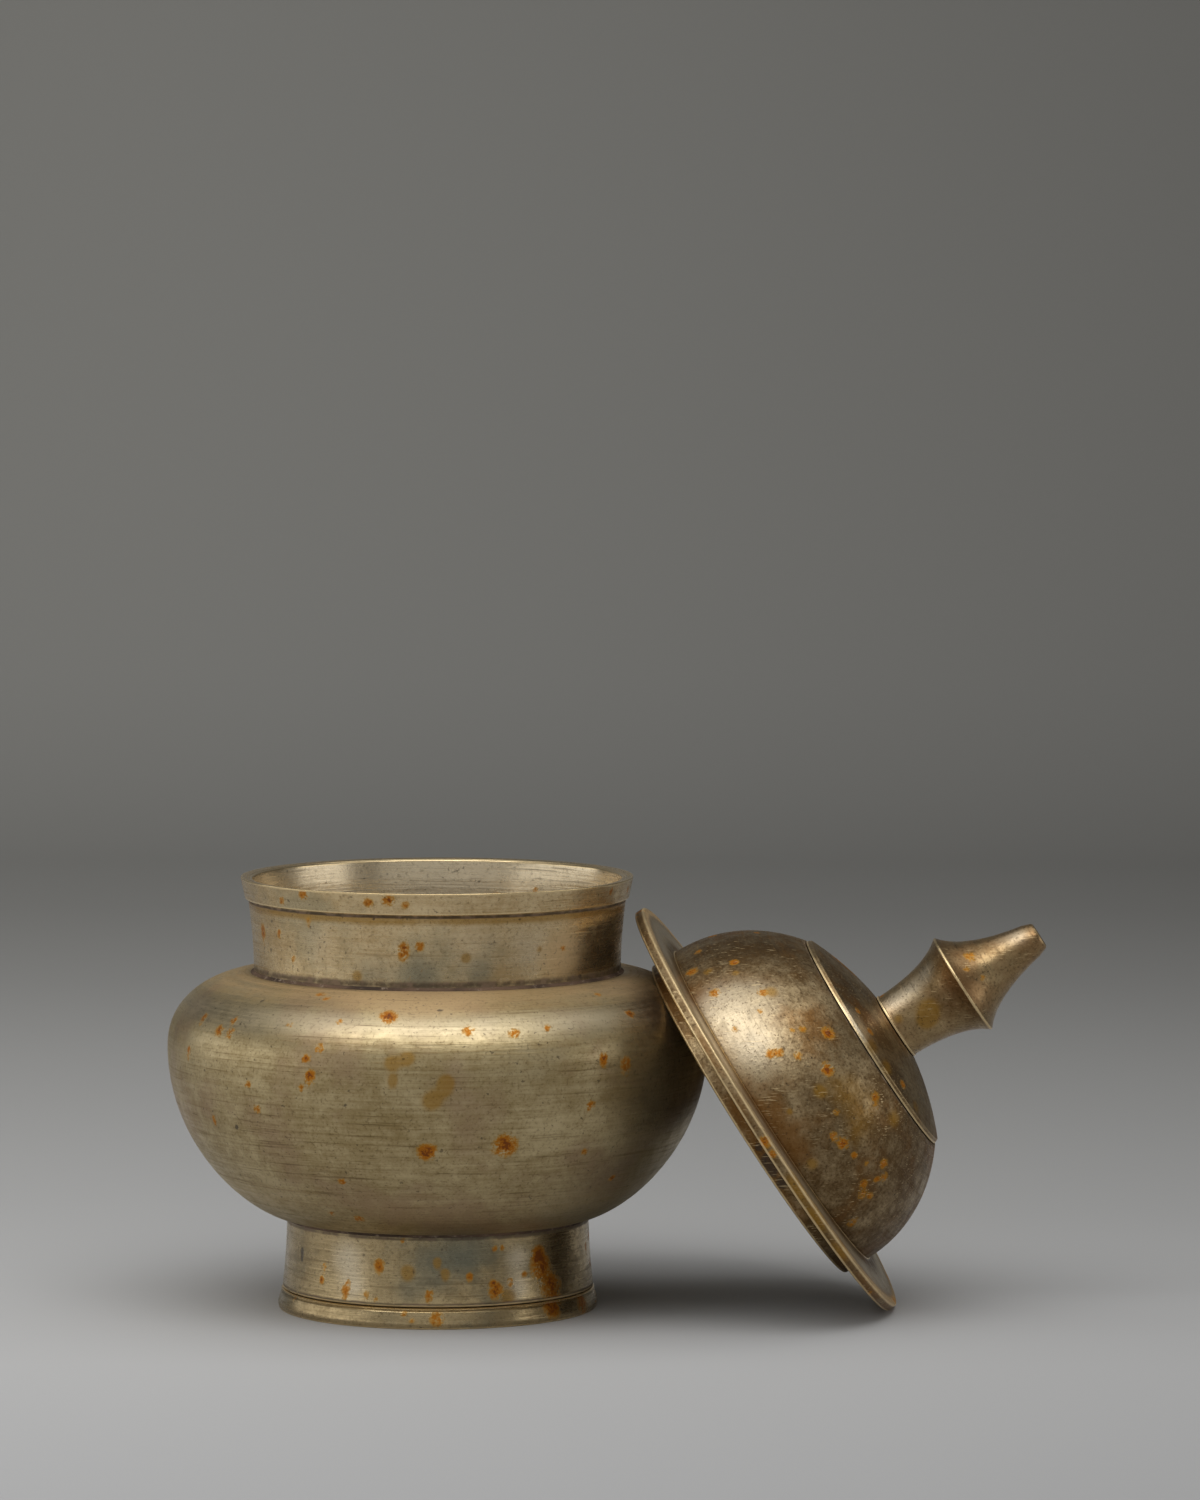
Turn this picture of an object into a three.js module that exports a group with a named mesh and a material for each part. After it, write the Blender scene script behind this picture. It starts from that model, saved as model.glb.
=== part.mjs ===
// Ritual rice pot of turned bronze, with its lid taken off and leaning against the shoulder.
// Millimetres, +Z up. The table is z = 0, the lid leans on the +X side of the pot, and the
// origin is under the middle of pot and lid together.

import * as THREE from 'three';

// Driving dimensions: pot
const FOOT_HEIGHT = 25.0;          // table to the line where belly and foot meet
const LOWER_BELLY_HEIGHT = 46.0;   // foot line to the widest ring
const UPPER_BELLY_HEIGHT = 19.8;   // widest ring to the root of the neck
const NECK_HEIGHT = 20.1;          // root of the neck to the underside of the mouth band
const MOUTH_BAND_HEIGHT = 5.8;     // underside of the mouth band to the rim's arris
const BELLY_RADIUS = 72.8;
const BELLY_WALL = 2.6;
const BOTTOM_SAG = 5.0;            // how far the closed bottom hangs into the foot
const LOWER_BELLY_TUCK = 1.39;     // power that draws the lower belly in towards the foot
const SHOULDER_REACH = 1.03;       // power that carries the shoulder out before it rolls down
const SHOULDER_ROLL = 0.91;        // power below 1 that lifts the shoulder into a flat roll
const NECK_ROOT_RADIUS = 49.5;
const NECK_FLARE = 1.5;            // how far the neck widens from its root to the mouth band
const NECK_FLARE_POWER = 1.8;
const NECK_ROOT_WALL = 2.2;
const NECK_SEAT_DEPTH = 1.0;       // depth of the seat turned in the shoulder
const MOUTH_RADIUS = 49.6;         // inside of the mouth
const MOUTH_LIP_WALL = 1.0;        // neck wall left inside the mouth band
const MOUTH_BAND_UNDERCUT = 0.8;   // how far the band's lower edge stands out over the neck
const MOUTH_BAND_TAPER = 1.2;      // how far the band leans out from its lower edge to the arris
const RIM_BEVEL_DROP = 0.5;        // fall of the rim's top face from its arris to the mouth
const FOOT_TOP_RADIUS = 40.8;
const FOOT_FLARE = 1.2;            // how far the foot widens down to the groove over its base band
const FOOT_FLARE_POWER = 1.8;
const FOOT_WALL = 2.8;
const BASE_BAND_HEIGHT = 4.5;      // table to the base band's upper arris
const BASE_BAND_DEPTH = 1.4;       // thickness of the base band at its upper arris
const BASE_BAND_SWELL = 0.8;       // how far the band swells out below that arris
const BASE_BAND_SWELL_HEIGHT = 1.6;
const BASE_BAND_FOOT_ROUND = 0.6;  // radius that draws in the band's bottom edge
const BEAD_HEIGHT = 0.6;           // fine bead over the base band
const BEAD_GROOVE_HEIGHT = 0.4;    // fine groove on each side of the bead
const BEAD_GROOVE_DEPTH = 0.4;
const SEAM_WIDTH = 0.9;            // solder fillets at the neck's root and the foot's top
const SEAM_HEIGHT = 0.8;

// Driving dimensions: lid, heights above the underside of its brim
const BRIM_RADIUS = 63.3;
const BRIM_EDGE_HEIGHT = 2.5;      // flat edge band
const BRIM_EDGE_EASE = 0.25;       // small bevels on the edge band
const BRIM_CROWN_RISE = 0.4;       // rise of the brim just inside its edge
const BRIM_CROWN_INSET = 0.7;
const BRIM_ROOT_HEIGHT = 3.4;      // top of the brim where the dome stands
const BRIM_COVE_REACH = 12.0;      // width of the hollow sweep up to the dome
const SPIGOT_CLEARANCE = 0.9;      // play of the locating ring in the mouth
const SPIGOT_DEPTH = 4.15;
const SPIGOT_WALL = 1.2;
const SPIGOT_EASE = 0.3;
const SPIGOT_GROOVE_DEPTH = 0.8;
const DOME_RADIUS = 48.6;
const DOME_WALL = 2.2;
const DOME_SPRING_HEIGHT = 4.0;    // where the upright wall starts to curve in
const DOME_RISE = 41.2;            // height of the dome's quarter ellipse, if it were whole
const DOME_TOP_RADIUS = 32.7;
const DOME_SEAT_DEPTH = 1.2;       // depth of the dome's seat in the brim
const CROWN_LEDGE = 4.2;           // flat ledge on the dome's top that carries the crown
const CROWN_REGISTER_DEPTH = 1.5;
const CROWN_REGISTER_WALL = 2.2;
const CROWN_SETBACK = 0.6;         // crown's lower edge inside the dome's top edge
const CROWN_EDGE_HEIGHT = 1.2;     // proud edge under the crown's arris
const CROWN_EDGE_LEAN = 0.5;
const CROWN_RISE = 6.4;            // arris to the flat under the knob
const CROWN_WALL = 2.2;
const KNOB_ROOT_RADIUS = 9.1;
const KNOB_FLAT_MARGIN = 0.5;      // flat left on the crown round the knob
const KNOB_RING_HEIGHT = 0.6;      // thin ring at the knob's root
const KNOB_RING_PROUD = 0.3;
const KNOB_STEM_HEIGHT = 21.3;
const KNOB_STEM_BEND_HEIGHT = 15.5;
const KNOB_STEM_BEND_FLARE = 0.3;
const KNOB_ARRIS_RADIUS = 14.4;
const KNOB_ARRIS_HEIGHT = 0.4;
const KNOB_CONE_HEIGHT = 21.3;
const KNOB_CONE_BEND_HEIGHT = 5.1;
const KNOB_CONE_BEND_RADIUS = 7.8;
const KNOB_NECK_RADIUS = 4.75;     // top of the hollow cone
const KNOB_TIP_RADIUS = 3.9;
const KNOB_TIP_HEIGHT = 2.9;
const KNOB_TIP_EASE = 0.5;         // bevel round the blunt tip
const TENON_RADIUS = 3.0;
const TENON_HEAD_RADIUS = 4.4;
const TENON_HEAD_HEIGHT = 0.9;
const WASHER_RADIUS = 7.0;
const WASHER_THICKNESS = 1.2;

// Clearances and the lid's lean
const NECK_SEAT_PLAY = 0.2;        // solder space round the neck in its seat
const LID_SOLDER_GAP = 0.3;        // solder space between the pieces of the lid
const LEAN_GAP = 0.25;             // lid to pot where the lid leans
const LID_LEAN = THREE.MathUtils.degToRad(57.25);   // tilt of the lid's axis from upright

// Fineness of the turned surfaces
const TURNED_SIDES = 44;
const KNOB_SIDES = 32;
const BELLY_STEPS = 8;
const WALL_STEPS = 5;
const DOME_STEPS = 8;
const CROWN_STEPS = 5;
const KNOB_STEPS = 7;
const ROUND_STEPS = 3;

// Levels of the pot, added up from the table
const BELLY_LEVEL = FOOT_HEIGHT + LOWER_BELLY_HEIGHT;
const SHOULDER_LEVEL = BELLY_LEVEL + UPPER_BELLY_HEIGHT;
const MOUTH_BAND_LEVEL = SHOULDER_LEVEL + NECK_HEIGHT;
const RIM_LEVEL = MOUTH_BAND_LEVEL + MOUTH_BAND_HEIGHT;

// Radii shared by pieces that fit together
const NECK_INNER_ROOT = NECK_ROOT_RADIUS - NECK_ROOT_WALL;
const NECK_TOP_RADIUS = NECK_ROOT_RADIUS + NECK_FLARE;
const MOUTH_BAND_BORE = MOUTH_RADIUS + MOUTH_LIP_WALL;
const MOUTH_BAND_LOWER_RADIUS = NECK_TOP_RADIUS + MOUTH_BAND_UNDERCUT;
const RIM_RADIUS = MOUTH_BAND_LOWER_RADIUS + MOUTH_BAND_TAPER;
const FOOT_LOWER_RADIUS = FOOT_TOP_RADIUS + FOOT_FLARE;
const BASE_BAND_ARRIS_RADIUS = FOOT_LOWER_RADIUS + BEAD_GROOVE_DEPTH;
const BASE_BAND_BORE = BASE_BAND_ARRIS_RADIUS - BASE_BAND_DEPTH;
const BASE_BAND_TOP = BASE_BAND_HEIGHT + BEAD_GROOVE_HEIGHT + BEAD_HEIGHT;
const SPIGOT_RADIUS = MOUTH_RADIUS - SPIGOT_CLEARANCE;
const SPIGOT_BORE = SPIGOT_RADIUS - SPIGOT_WALL;
const DOME_BORE = DOME_RADIUS - DOME_WALL;
const BRIM_SEAT_LEVEL = BRIM_ROOT_HEIGHT - DOME_SEAT_DEPTH;
const BRIM_BORE = Math.min(DOME_BORE, SPIGOT_BORE) - 2 * LID_SOLDER_GAP;
const DOME_TOP_LEVEL = DOME_SPRING_HEIGHT + DOME_RISE * Math.sqrt(1 - (DOME_TOP_RADIUS / DOME_RADIUS) ** 2);
const CROWN_OPENING = DOME_TOP_RADIUS - CROWN_LEDGE;
const CROWN_REGISTER_RADIUS = CROWN_OPENING - LID_SOLDER_GAP;
const CROWN_LEVEL = DOME_TOP_LEVEL + LID_SOLDER_GAP;
const CROWN_ARRIS_RADIUS = DOME_TOP_RADIUS - CROWN_SETBACK - CROWN_EDGE_LEAN;
const CROWN_ARRIS_LEVEL = CROWN_LEVEL + CROWN_EDGE_HEIGHT;
const KNOB_FLAT_RADIUS = KNOB_ROOT_RADIUS + KNOB_RING_PROUD + KNOB_FLAT_MARGIN;
const KNOB_FLAT_LEVEL = CROWN_ARRIS_LEVEL + CROWN_RISE;
const TENON_HOLE_RADIUS = TENON_RADIUS + LID_SOLDER_GAP;
const WASHER_TOP_LEVEL = KNOB_FLAT_LEVEL - CROWN_WALL - LID_SOLDER_GAP;
const TENON_HEAD_LEVEL = WASHER_TOP_LEVEL - WASHER_THICKNESS - LID_SOLDER_GAP;

const point = (radius, level) => new THREE.Vector2(radius, level);

// Points of a swelling quadrant from its level end to its upright end. Across, the offset from the
// level end is the cosine of the turn to a power; up, the offset from the upright end is the sine to one.
function quadrant(levelEnd, uprightEnd, acrossPower, upPower, steps) {
  const points = [];
  for (let i = 0; i <= steps; i += 1) {
    const turn = (Math.PI / 2) * (1 - i / steps);
    const across = i === 0 ? 0 : Math.cos(turn) ** acrossPower;
    const up = Math.sin(turn) ** upPower;
    points.push(point(
      THREE.MathUtils.lerp(levelEnd.x, uprightEnd.x, across),
      THREE.MathUtils.lerp(uprightEnd.y, levelEnd.y, up),
    ));
  }
  return points;
}

// Points of a wall that runs from start to end, its radius following the climb to a power.
function flare(start, end, power, steps) {
  const points = [];
  for (let i = 0; i <= steps; i += 1) {
    const climb = i / steps;
    points.push(point(
      THREE.MathUtils.lerp(start.x, end.x, climb ** power),
      THREE.MathUtils.lerp(start.y, end.y, climb),
    ));
  }
  return points;
}

// Points of a shallow dish from the axis out to its edge, the level following the radius squared.
function dish(centreLevel, edge, steps) {
  const points = [];
  for (let i = 0; i <= steps; i += 1) {
    const reach = i / steps;
    points.push(point(edge.x * reach, THREE.MathUtils.lerp(centreLevel, edge.y, reach * reach)));
  }
  return points;
}

// Points of a bend from start to end that leans towards a corner.
function bend(start, corner, end, steps) {
  return new THREE.QuadraticBezierCurve(start, corner, end).getPoints(steps);
}

// A line of points moved to its left by a wall's thickness, square to the line at each point.
function inset(points, thickness) {
  return points.map((here, i) => {
    const before = points[Math.max(i - 1, 0)];
    const after = points[Math.min(i + 1, points.length - 1)];
    const along = after.clone().sub(before).normalize();
    return point(here.x - along.y * thickness, here.y + along.x * thickness);
  });
}

// A turned piece: a closed section, outside going up, carried round the axis.
function turned(name, section, finish, sides = TURNED_SIDES) {
  const onAxis = section[0].x === 0 && section.at(-1).x === 0;
  const outline = onAxis ? section : [...section, section[0]];
  const geometry = new THREE.LatheGeometry(outline, sides).rotateX(Math.PI / 2);
  const mesh = new THREE.Mesh(geometry, new THREE.MeshStandardMaterial(finish));
  mesh.name = name;
  return mesh;
}

// Finishes, as the aged metal looks
const POT_BRONZE = { color: 0x8a7a5c, roughness: 0.42, metalness: 0.9 };
const FOOT_BRONZE = { color: 0x8a8270, roughness: 0.48, metalness: 0.85 };
const LID_BRONZE = { color: 0x7d6a4a, roughness: 0.45, metalness: 0.9 };
const KNOB_BRONZE = { color: 0x77603f, roughness: 0.4, metalness: 0.9 };
const SOLDER = { color: 0x6d645c, roughness: 0.8, metalness: 0.4 };
const INNER_BRASS = { color: 0x8c7a4e, roughness: 0.5, metalness: 0.9 };

// The outer line of the belly from the foot's landing up to the shoulder's flat
function bellyLine() {
  const footEdge = point(FOOT_TOP_RADIUS + SEAM_WIDTH, FOOT_HEIGHT);
  const widest = point(BELLY_RADIUS, BELLY_LEVEL);
  const shoulderEdge = point(NECK_ROOT_RADIUS + SEAM_WIDTH, SHOULDER_LEVEL);
  const lower = quadrant(footEdge, widest, LOWER_BELLY_TUCK, 1, BELLY_STEPS);
  const upper = quadrant(shoulderEdge, widest, SHOULDER_REACH, SHOULDER_ROLL, BELLY_STEPS).reverse();
  return [...lower, ...upper.slice(1)];
}

function bellyShell() {
  const line = bellyLine();
  const landingRadius = FOOT_TOP_RADIUS - FOOT_WALL - SEAM_WIDTH;
  const bottom = dish(FOOT_HEIGHT - BOTTOM_SAG, point(landingRadius, FOOT_HEIGHT), WALL_STEPS);
  const seatRadius = NECK_ROOT_RADIUS + NECK_SEAT_PLAY;
  const seatLevel = SHOULDER_LEVEL - NECK_SEAT_DEPTH;
  const seat = [point(seatRadius, SHOULDER_LEVEL), point(seatRadius, seatLevel)];
  const mouthHole = [point(NECK_INNER_ROOT, seatLevel), point(NECK_INNER_ROOT, SHOULDER_LEVEL - BELLY_WALL)];
  const innerWall = inset(line, BELLY_WALL).reverse();
  const innerBottom = bottom.map((p) => point(p.x, p.y + BELLY_WALL)).reverse();
  const section = [...bottom, ...line, ...seat, ...mouthHole, ...innerWall, ...innerBottom];
  return turned('belly_shell', section, POT_BRONZE);
}

// Level of the rim's bevelled top face at a radius
function rimLevel(radius) {
  return RIM_LEVEL - RIM_BEVEL_DROP * (RIM_RADIUS - radius) / (RIM_RADIUS - MOUTH_RADIUS);
}

function neckWall() {
  const root = point(NECK_ROOT_RADIUS, SHOULDER_LEVEL + SEAM_HEIGHT);
  return flare(root, point(NECK_TOP_RADIUS, MOUTH_BAND_LEVEL), NECK_FLARE_POWER, WALL_STEPS);
}

function neckCollar() {
  const seatLevel = SHOULDER_LEVEL - NECK_SEAT_DEPTH;
  const section = [
    point(NECK_ROOT_RADIUS, seatLevel),
    ...neckWall(),
    point(MOUTH_BAND_BORE, MOUTH_BAND_LEVEL),
    point(MOUTH_BAND_BORE, rimLevel(MOUTH_BAND_BORE)),
    point(MOUTH_RADIUS, rimLevel(MOUTH_RADIUS)),
    point(MOUTH_RADIUS, MOUTH_BAND_LEVEL),
    point(NECK_INNER_ROOT, seatLevel),
  ];
  return turned('neck_collar', section, POT_BRONZE);
}

function mouthBand() {
  const section = [
    point(MOUTH_BAND_BORE, MOUTH_BAND_LEVEL),
    point(MOUTH_BAND_LOWER_RADIUS, MOUTH_BAND_LEVEL),
    point(RIM_RADIUS, RIM_LEVEL),
    point(MOUTH_BAND_BORE, rimLevel(MOUTH_BAND_BORE)),
  ];
  return turned('mouth_band', section, POT_BRONZE);
}

function neckSolderSeam() {
  const section = [
    point(NECK_ROOT_RADIUS, SHOULDER_LEVEL),
    point(NECK_ROOT_RADIUS + SEAM_WIDTH, SHOULDER_LEVEL),
    point(NECK_ROOT_RADIUS, SHOULDER_LEVEL + SEAM_HEIGHT),
  ];
  return turned('neck_solder_seam', section, SOLDER);
}

function footRing() {
  const wallFoot = point(FOOT_LOWER_RADIUS, BASE_BAND_TOP + BEAD_GROOVE_HEIGHT);
  const wallTop = point(FOOT_TOP_RADIUS, FOOT_HEIGHT - SEAM_HEIGHT);
  const wall = flare(wallTop, wallFoot, FOOT_FLARE_POWER, WALL_STEPS).reverse();
  const section = [
    point(BASE_BAND_BORE, 0),
    point(BASE_BAND_BORE, wallFoot.y),
    ...wall,
    point(FOOT_TOP_RADIUS, FOOT_HEIGHT),
    point(FOOT_TOP_RADIUS - FOOT_WALL, FOOT_HEIGHT),
    point(BASE_BAND_BORE - FOOT_WALL, wallFoot.y),
    point(BASE_BAND_BORE - FOOT_WALL, 0),
  ];
  return turned('foot_ring', section, FOOT_BRONZE);
}

function footBaseBand() {
  const swellRadius = BASE_BAND_ARRIS_RADIUS + BASE_BAND_SWELL;
  const rounding = bend(
    point(swellRadius - BASE_BAND_FOOT_ROUND, 0),
    point(swellRadius, 0),
    point(swellRadius, BASE_BAND_SWELL_HEIGHT),
    ROUND_STEPS,
  );
  const beadFoot = BASE_BAND_HEIGHT + BEAD_GROOVE_HEIGHT;
  const section = [
    point(BASE_BAND_BORE, 0),
    ...rounding,
    point(BASE_BAND_ARRIS_RADIUS, BASE_BAND_HEIGHT),
    point(BASE_BAND_ARRIS_RADIUS - BEAD_GROOVE_DEPTH, beadFoot),
    point(BASE_BAND_ARRIS_RADIUS, beadFoot + BEAD_HEIGHT / 2),
    point(BASE_BAND_ARRIS_RADIUS - BEAD_GROOVE_DEPTH, BASE_BAND_TOP),
    point(BASE_BAND_BORE, BASE_BAND_TOP),
  ];
  return turned('foot_base_band', section, FOOT_BRONZE);
}

function footSolderSeam() {
  const section = [
    point(FOOT_TOP_RADIUS, FOOT_HEIGHT - SEAM_HEIGHT),
    point(FOOT_TOP_RADIUS + SEAM_WIDTH, FOOT_HEIGHT),
    point(FOOT_TOP_RADIUS, FOOT_HEIGHT),
  ];
  return turned('foot_solder_seam', section, SOLDER);
}

function lidBrim() {
  const seatRadius = DOME_RADIUS + LID_SOLDER_GAP;
  const crownEdge = point(BRIM_RADIUS - BRIM_CROWN_INSET, BRIM_EDGE_HEIGHT + BRIM_CROWN_RISE);
  const coveFoot = point(seatRadius + BRIM_COVE_REACH, crownEdge.y);
  const coveCorner = point(seatRadius, crownEdge.y);
  const cove = bend(coveFoot, coveCorner, point(seatRadius, BRIM_ROOT_HEIGHT), ROUND_STEPS);
  const section = [
    point(SPIGOT_RADIUS + LID_SOLDER_GAP, SPIGOT_GROOVE_DEPTH),
    point(SPIGOT_RADIUS + LID_SOLDER_GAP, 0),
    point(BRIM_RADIUS - BRIM_EDGE_EASE, 0),
    point(BRIM_RADIUS, BRIM_EDGE_EASE),
    point(BRIM_RADIUS, BRIM_EDGE_HEIGHT),
    crownEdge,
    ...cove,
    point(seatRadius, BRIM_SEAT_LEVEL),
    point(BRIM_BORE, BRIM_SEAT_LEVEL),
    point(BRIM_BORE, SPIGOT_GROOVE_DEPTH),
  ];
  return turned('lid_brim', section, LID_BRONZE);
}

function lidSpigot() {
  const top = SPIGOT_GROOVE_DEPTH - LID_SOLDER_GAP;
  const section = [
    point(SPIGOT_BORE, -SPIGOT_DEPTH),
    point(SPIGOT_RADIUS - SPIGOT_EASE, -SPIGOT_DEPTH),
    point(SPIGOT_RADIUS, SPIGOT_EASE - SPIGOT_DEPTH),
    point(SPIGOT_RADIUS, top),
    point(SPIGOT_BORE, top),
  ];
  return turned('lid_spigot', section, LID_BRONZE);
}

// Points on the dome's quarter ellipse, shrunk all round by an inset, up to a given radius.
function domeCurve(insetBy, topRadius, steps) {
  const radius = DOME_RADIUS - insetBy;
  const rise = DOME_RISE - insetBy;
  const lastTurn = Math.acos(topRadius / radius);
  const ellipse = new THREE.EllipseCurve(0, DOME_SPRING_HEIGHT, radius, rise, 0, lastTurn);
  return ellipse.getPoints(steps);
}

function lidDome() {
  const foot = BRIM_SEAT_LEVEL + LID_SOLDER_GAP;
  const innerCurve = domeCurve(DOME_WALL, CROWN_OPENING, DOME_STEPS).reverse();
  const section = [
    point(DOME_BORE, foot),
    point(DOME_RADIUS, foot),
    ...domeCurve(0, DOME_TOP_RADIUS, DOME_STEPS),
    point(CROWN_OPENING, DOME_TOP_LEVEL),
    ...innerCurve.filter((p) => p.y < DOME_TOP_LEVEL - LID_SOLDER_GAP),
  ];
  return turned('lid_dome', section, LID_BRONZE);
}

// Level of the crown's cap at a radius: a parabola from the knob's flat down to the arris.
function crownLevel(radius) {
  const reach = (radius ** 2 - KNOB_FLAT_RADIUS ** 2) / (CROWN_ARRIS_RADIUS ** 2 - KNOB_FLAT_RADIUS ** 2);
  return KNOB_FLAT_LEVEL - CROWN_RISE * reach;
}

// Points of the cap from an outer radius in to the knob's flat, lowered by the wall for its inside.
function crownCap(outerRadius, lowered, steps) {
  const points = [];
  for (let i = 0; i <= steps; i += 1) {
    const radius = THREE.MathUtils.lerp(outerRadius, KNOB_FLAT_RADIUS, i / steps);
    points.push(point(radius, crownLevel(radius) - lowered));
  }
  return points;
}

function lidCrown() {
  const registerBore = CROWN_REGISTER_RADIUS - CROWN_REGISTER_WALL;
  const registerFoot = DOME_TOP_LEVEL - CROWN_REGISTER_DEPTH;
  const section = [
    point(TENON_HOLE_RADIUS, KNOB_FLAT_LEVEL - CROWN_WALL),
    ...crownCap(registerBore, CROWN_WALL, CROWN_STEPS).reverse(),
    point(registerBore, registerFoot),
    point(CROWN_REGISTER_RADIUS, registerFoot),
    point(CROWN_REGISTER_RADIUS, CROWN_LEVEL),
    point(DOME_TOP_RADIUS - CROWN_SETBACK, CROWN_LEVEL),
    ...crownCap(CROWN_ARRIS_RADIUS, 0, CROWN_STEPS),
    point(TENON_HOLE_RADIUS, KNOB_FLAT_LEVEL),
  ];
  return turned('lid_crown', section, LID_BRONZE);
}

function knob() {
  const root = KNOB_FLAT_LEVEL + LID_SOLDER_GAP;
  const ringTop = root + KNOB_RING_HEIGHT;
  const arrisLevel = root + KNOB_STEM_HEIGHT;
  const coneFoot = arrisLevel + KNOB_ARRIS_HEIGHT;
  const coneTop = coneFoot + KNOB_CONE_HEIGHT;
  const stem = bend(
    point(KNOB_ROOT_RADIUS, ringTop),
    point(KNOB_ROOT_RADIUS + KNOB_STEM_BEND_FLARE, root + KNOB_STEM_BEND_HEIGHT),
    point(KNOB_ARRIS_RADIUS, arrisLevel),
    KNOB_STEPS,
  );
  const cone = bend(
    point(KNOB_ARRIS_RADIUS, coneFoot),
    point(KNOB_CONE_BEND_RADIUS, coneFoot + KNOB_CONE_BEND_HEIGHT),
    point(KNOB_NECK_RADIUS, coneTop),
    KNOB_STEPS,
  );
  const tipTop = coneTop + KNOB_TIP_HEIGHT;
  const section = [
    point(0, TENON_HEAD_LEVEL - TENON_HEAD_HEIGHT),
    point(TENON_RADIUS, TENON_HEAD_LEVEL - TENON_HEAD_HEIGHT),
    point(TENON_HEAD_RADIUS, TENON_HEAD_LEVEL - TENON_HEAD_HEIGHT / 2),
    point(TENON_HEAD_RADIUS, TENON_HEAD_LEVEL),
    point(TENON_RADIUS, TENON_HEAD_LEVEL),
    point(TENON_RADIUS, root),
    point(KNOB_ROOT_RADIUS + KNOB_RING_PROUD, root),
    point(KNOB_ROOT_RADIUS + KNOB_RING_PROUD, ringTop),
    ...stem,
    ...cone,
    point(KNOB_TIP_RADIUS, tipTop - KNOB_TIP_EASE),
    point(KNOB_TIP_RADIUS - KNOB_TIP_EASE, tipTop),
    point(0, tipTop),
  ];
  return turned('knob', section, KNOB_BRONZE, KNOB_SIDES);
}

function knobWasher() {
  const bottom = WASHER_TOP_LEVEL - WASHER_THICKNESS;
  const section = [
    point(TENON_HOLE_RADIUS, bottom),
    point(WASHER_RADIUS, bottom),
    point(WASHER_RADIUS, WASHER_TOP_LEVEL),
    point(TENON_HOLE_RADIUS, WASHER_TOP_LEVEL),
  ];
  return turned('knob_washer', section, INNER_BRASS, KNOB_SIDES);
}

// The pot's outer line from the foot to the rim, which the lid can lean on.
function potLine() {
  return [
    ...bellyLine(),
    ...neckWall(),
    point(MOUTH_BAND_LOWER_RADIUS, MOUTH_BAND_LEVEL),
    point(RIM_RADIUS, RIM_LEVEL),
  ];
}

// The pot's outer radius at a height.
function potRadiusAt(level) {
  const line = potLine();
  for (let i = 1; i < line.length; i += 1) {
    const [low, high] = [line[i - 1], line[i]];
    if (level >= low.y && level <= high.y && high.y > low.y) {
      return THREE.MathUtils.mapLinear(level, low.y, high.y, low.x, high.x);
    }
  }
  return 0;
}

// The lid tips over its brim's lowest point and slides in until one of its corners meets the pot,
// or one of the pot's edges meets the flat under the brim.
function leanAgainstPot(lid) {
  lid.rotation.y = LID_LEAN;
  lid.updateMatrixWorld(true);
  const corners = [];
  lid.traverse((mesh) => {
    const places = mesh.geometry?.attributes.position;
    for (let i = 0; i < (places?.count ?? 0); i += 1) {
      corners.push(new THREE.Vector3().fromBufferAttribute(places, i).applyMatrix4(mesh.matrixWorld));
    }
  });
  const lift = -Math.min(...corners.map((corner) => corner.z));
  const slides = corners.map((corner) => {
    const reach = potRadiusAt(corner.z + lift) + LEAN_GAP;
    return reach > Math.abs(corner.y) ? Math.sqrt(reach ** 2 - corner.y ** 2) - corner.x : 0;
  });
  const flatSlides = potLine()
    .filter(({ y }) => y - lift > SPIGOT_RADIUS * Math.sin(LID_LEAN) && y - lift < BRIM_RADIUS * Math.sin(LID_LEAN))
    .map(({ x, y }) => x + (y - lift) / Math.tan(LID_LEAN) + LEAN_GAP / Math.sin(LID_LEAN));
  lid.position.set(Math.max(...slides, ...flatSlides), 0, lift);
}

const pot = new THREE.Group();
pot.add(bellyShell(), neckCollar(), mouthBand(), neckSolderSeam(), footRing(), footBaseBand(), footSolderSeam());

const lid = new THREE.Group();
lid.add(lidBrim(), lidSpigot(), lidDome(), lidCrown(), knob(), knobWasher());
leanAgainstPot(lid);

const ricePot = new THREE.Group();
ricePot.add(pot, lid);

// Bring the origin under the middle of the whole object.
const box = new THREE.Box3().setFromObject(ricePot, true);
ricePot.position.x = -(box.min.x + box.max.x) / 2;

export default ricePot;
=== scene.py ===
# %% [markdown]
# # A ritual rice pot of aged bronze
# The object is a round-bellied pot on a ring foot. Its domed lid is taken off and leans on the shoulder.
# Every piece of it was made on a lathe, so every piece here is a section carried round an axis.
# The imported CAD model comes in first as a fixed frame. Each CAD node is then replaced by a finer surface
# of the same size, with eased edges, and the metal's age is painted on it by nodes.

from types import SimpleNamespace

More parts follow.
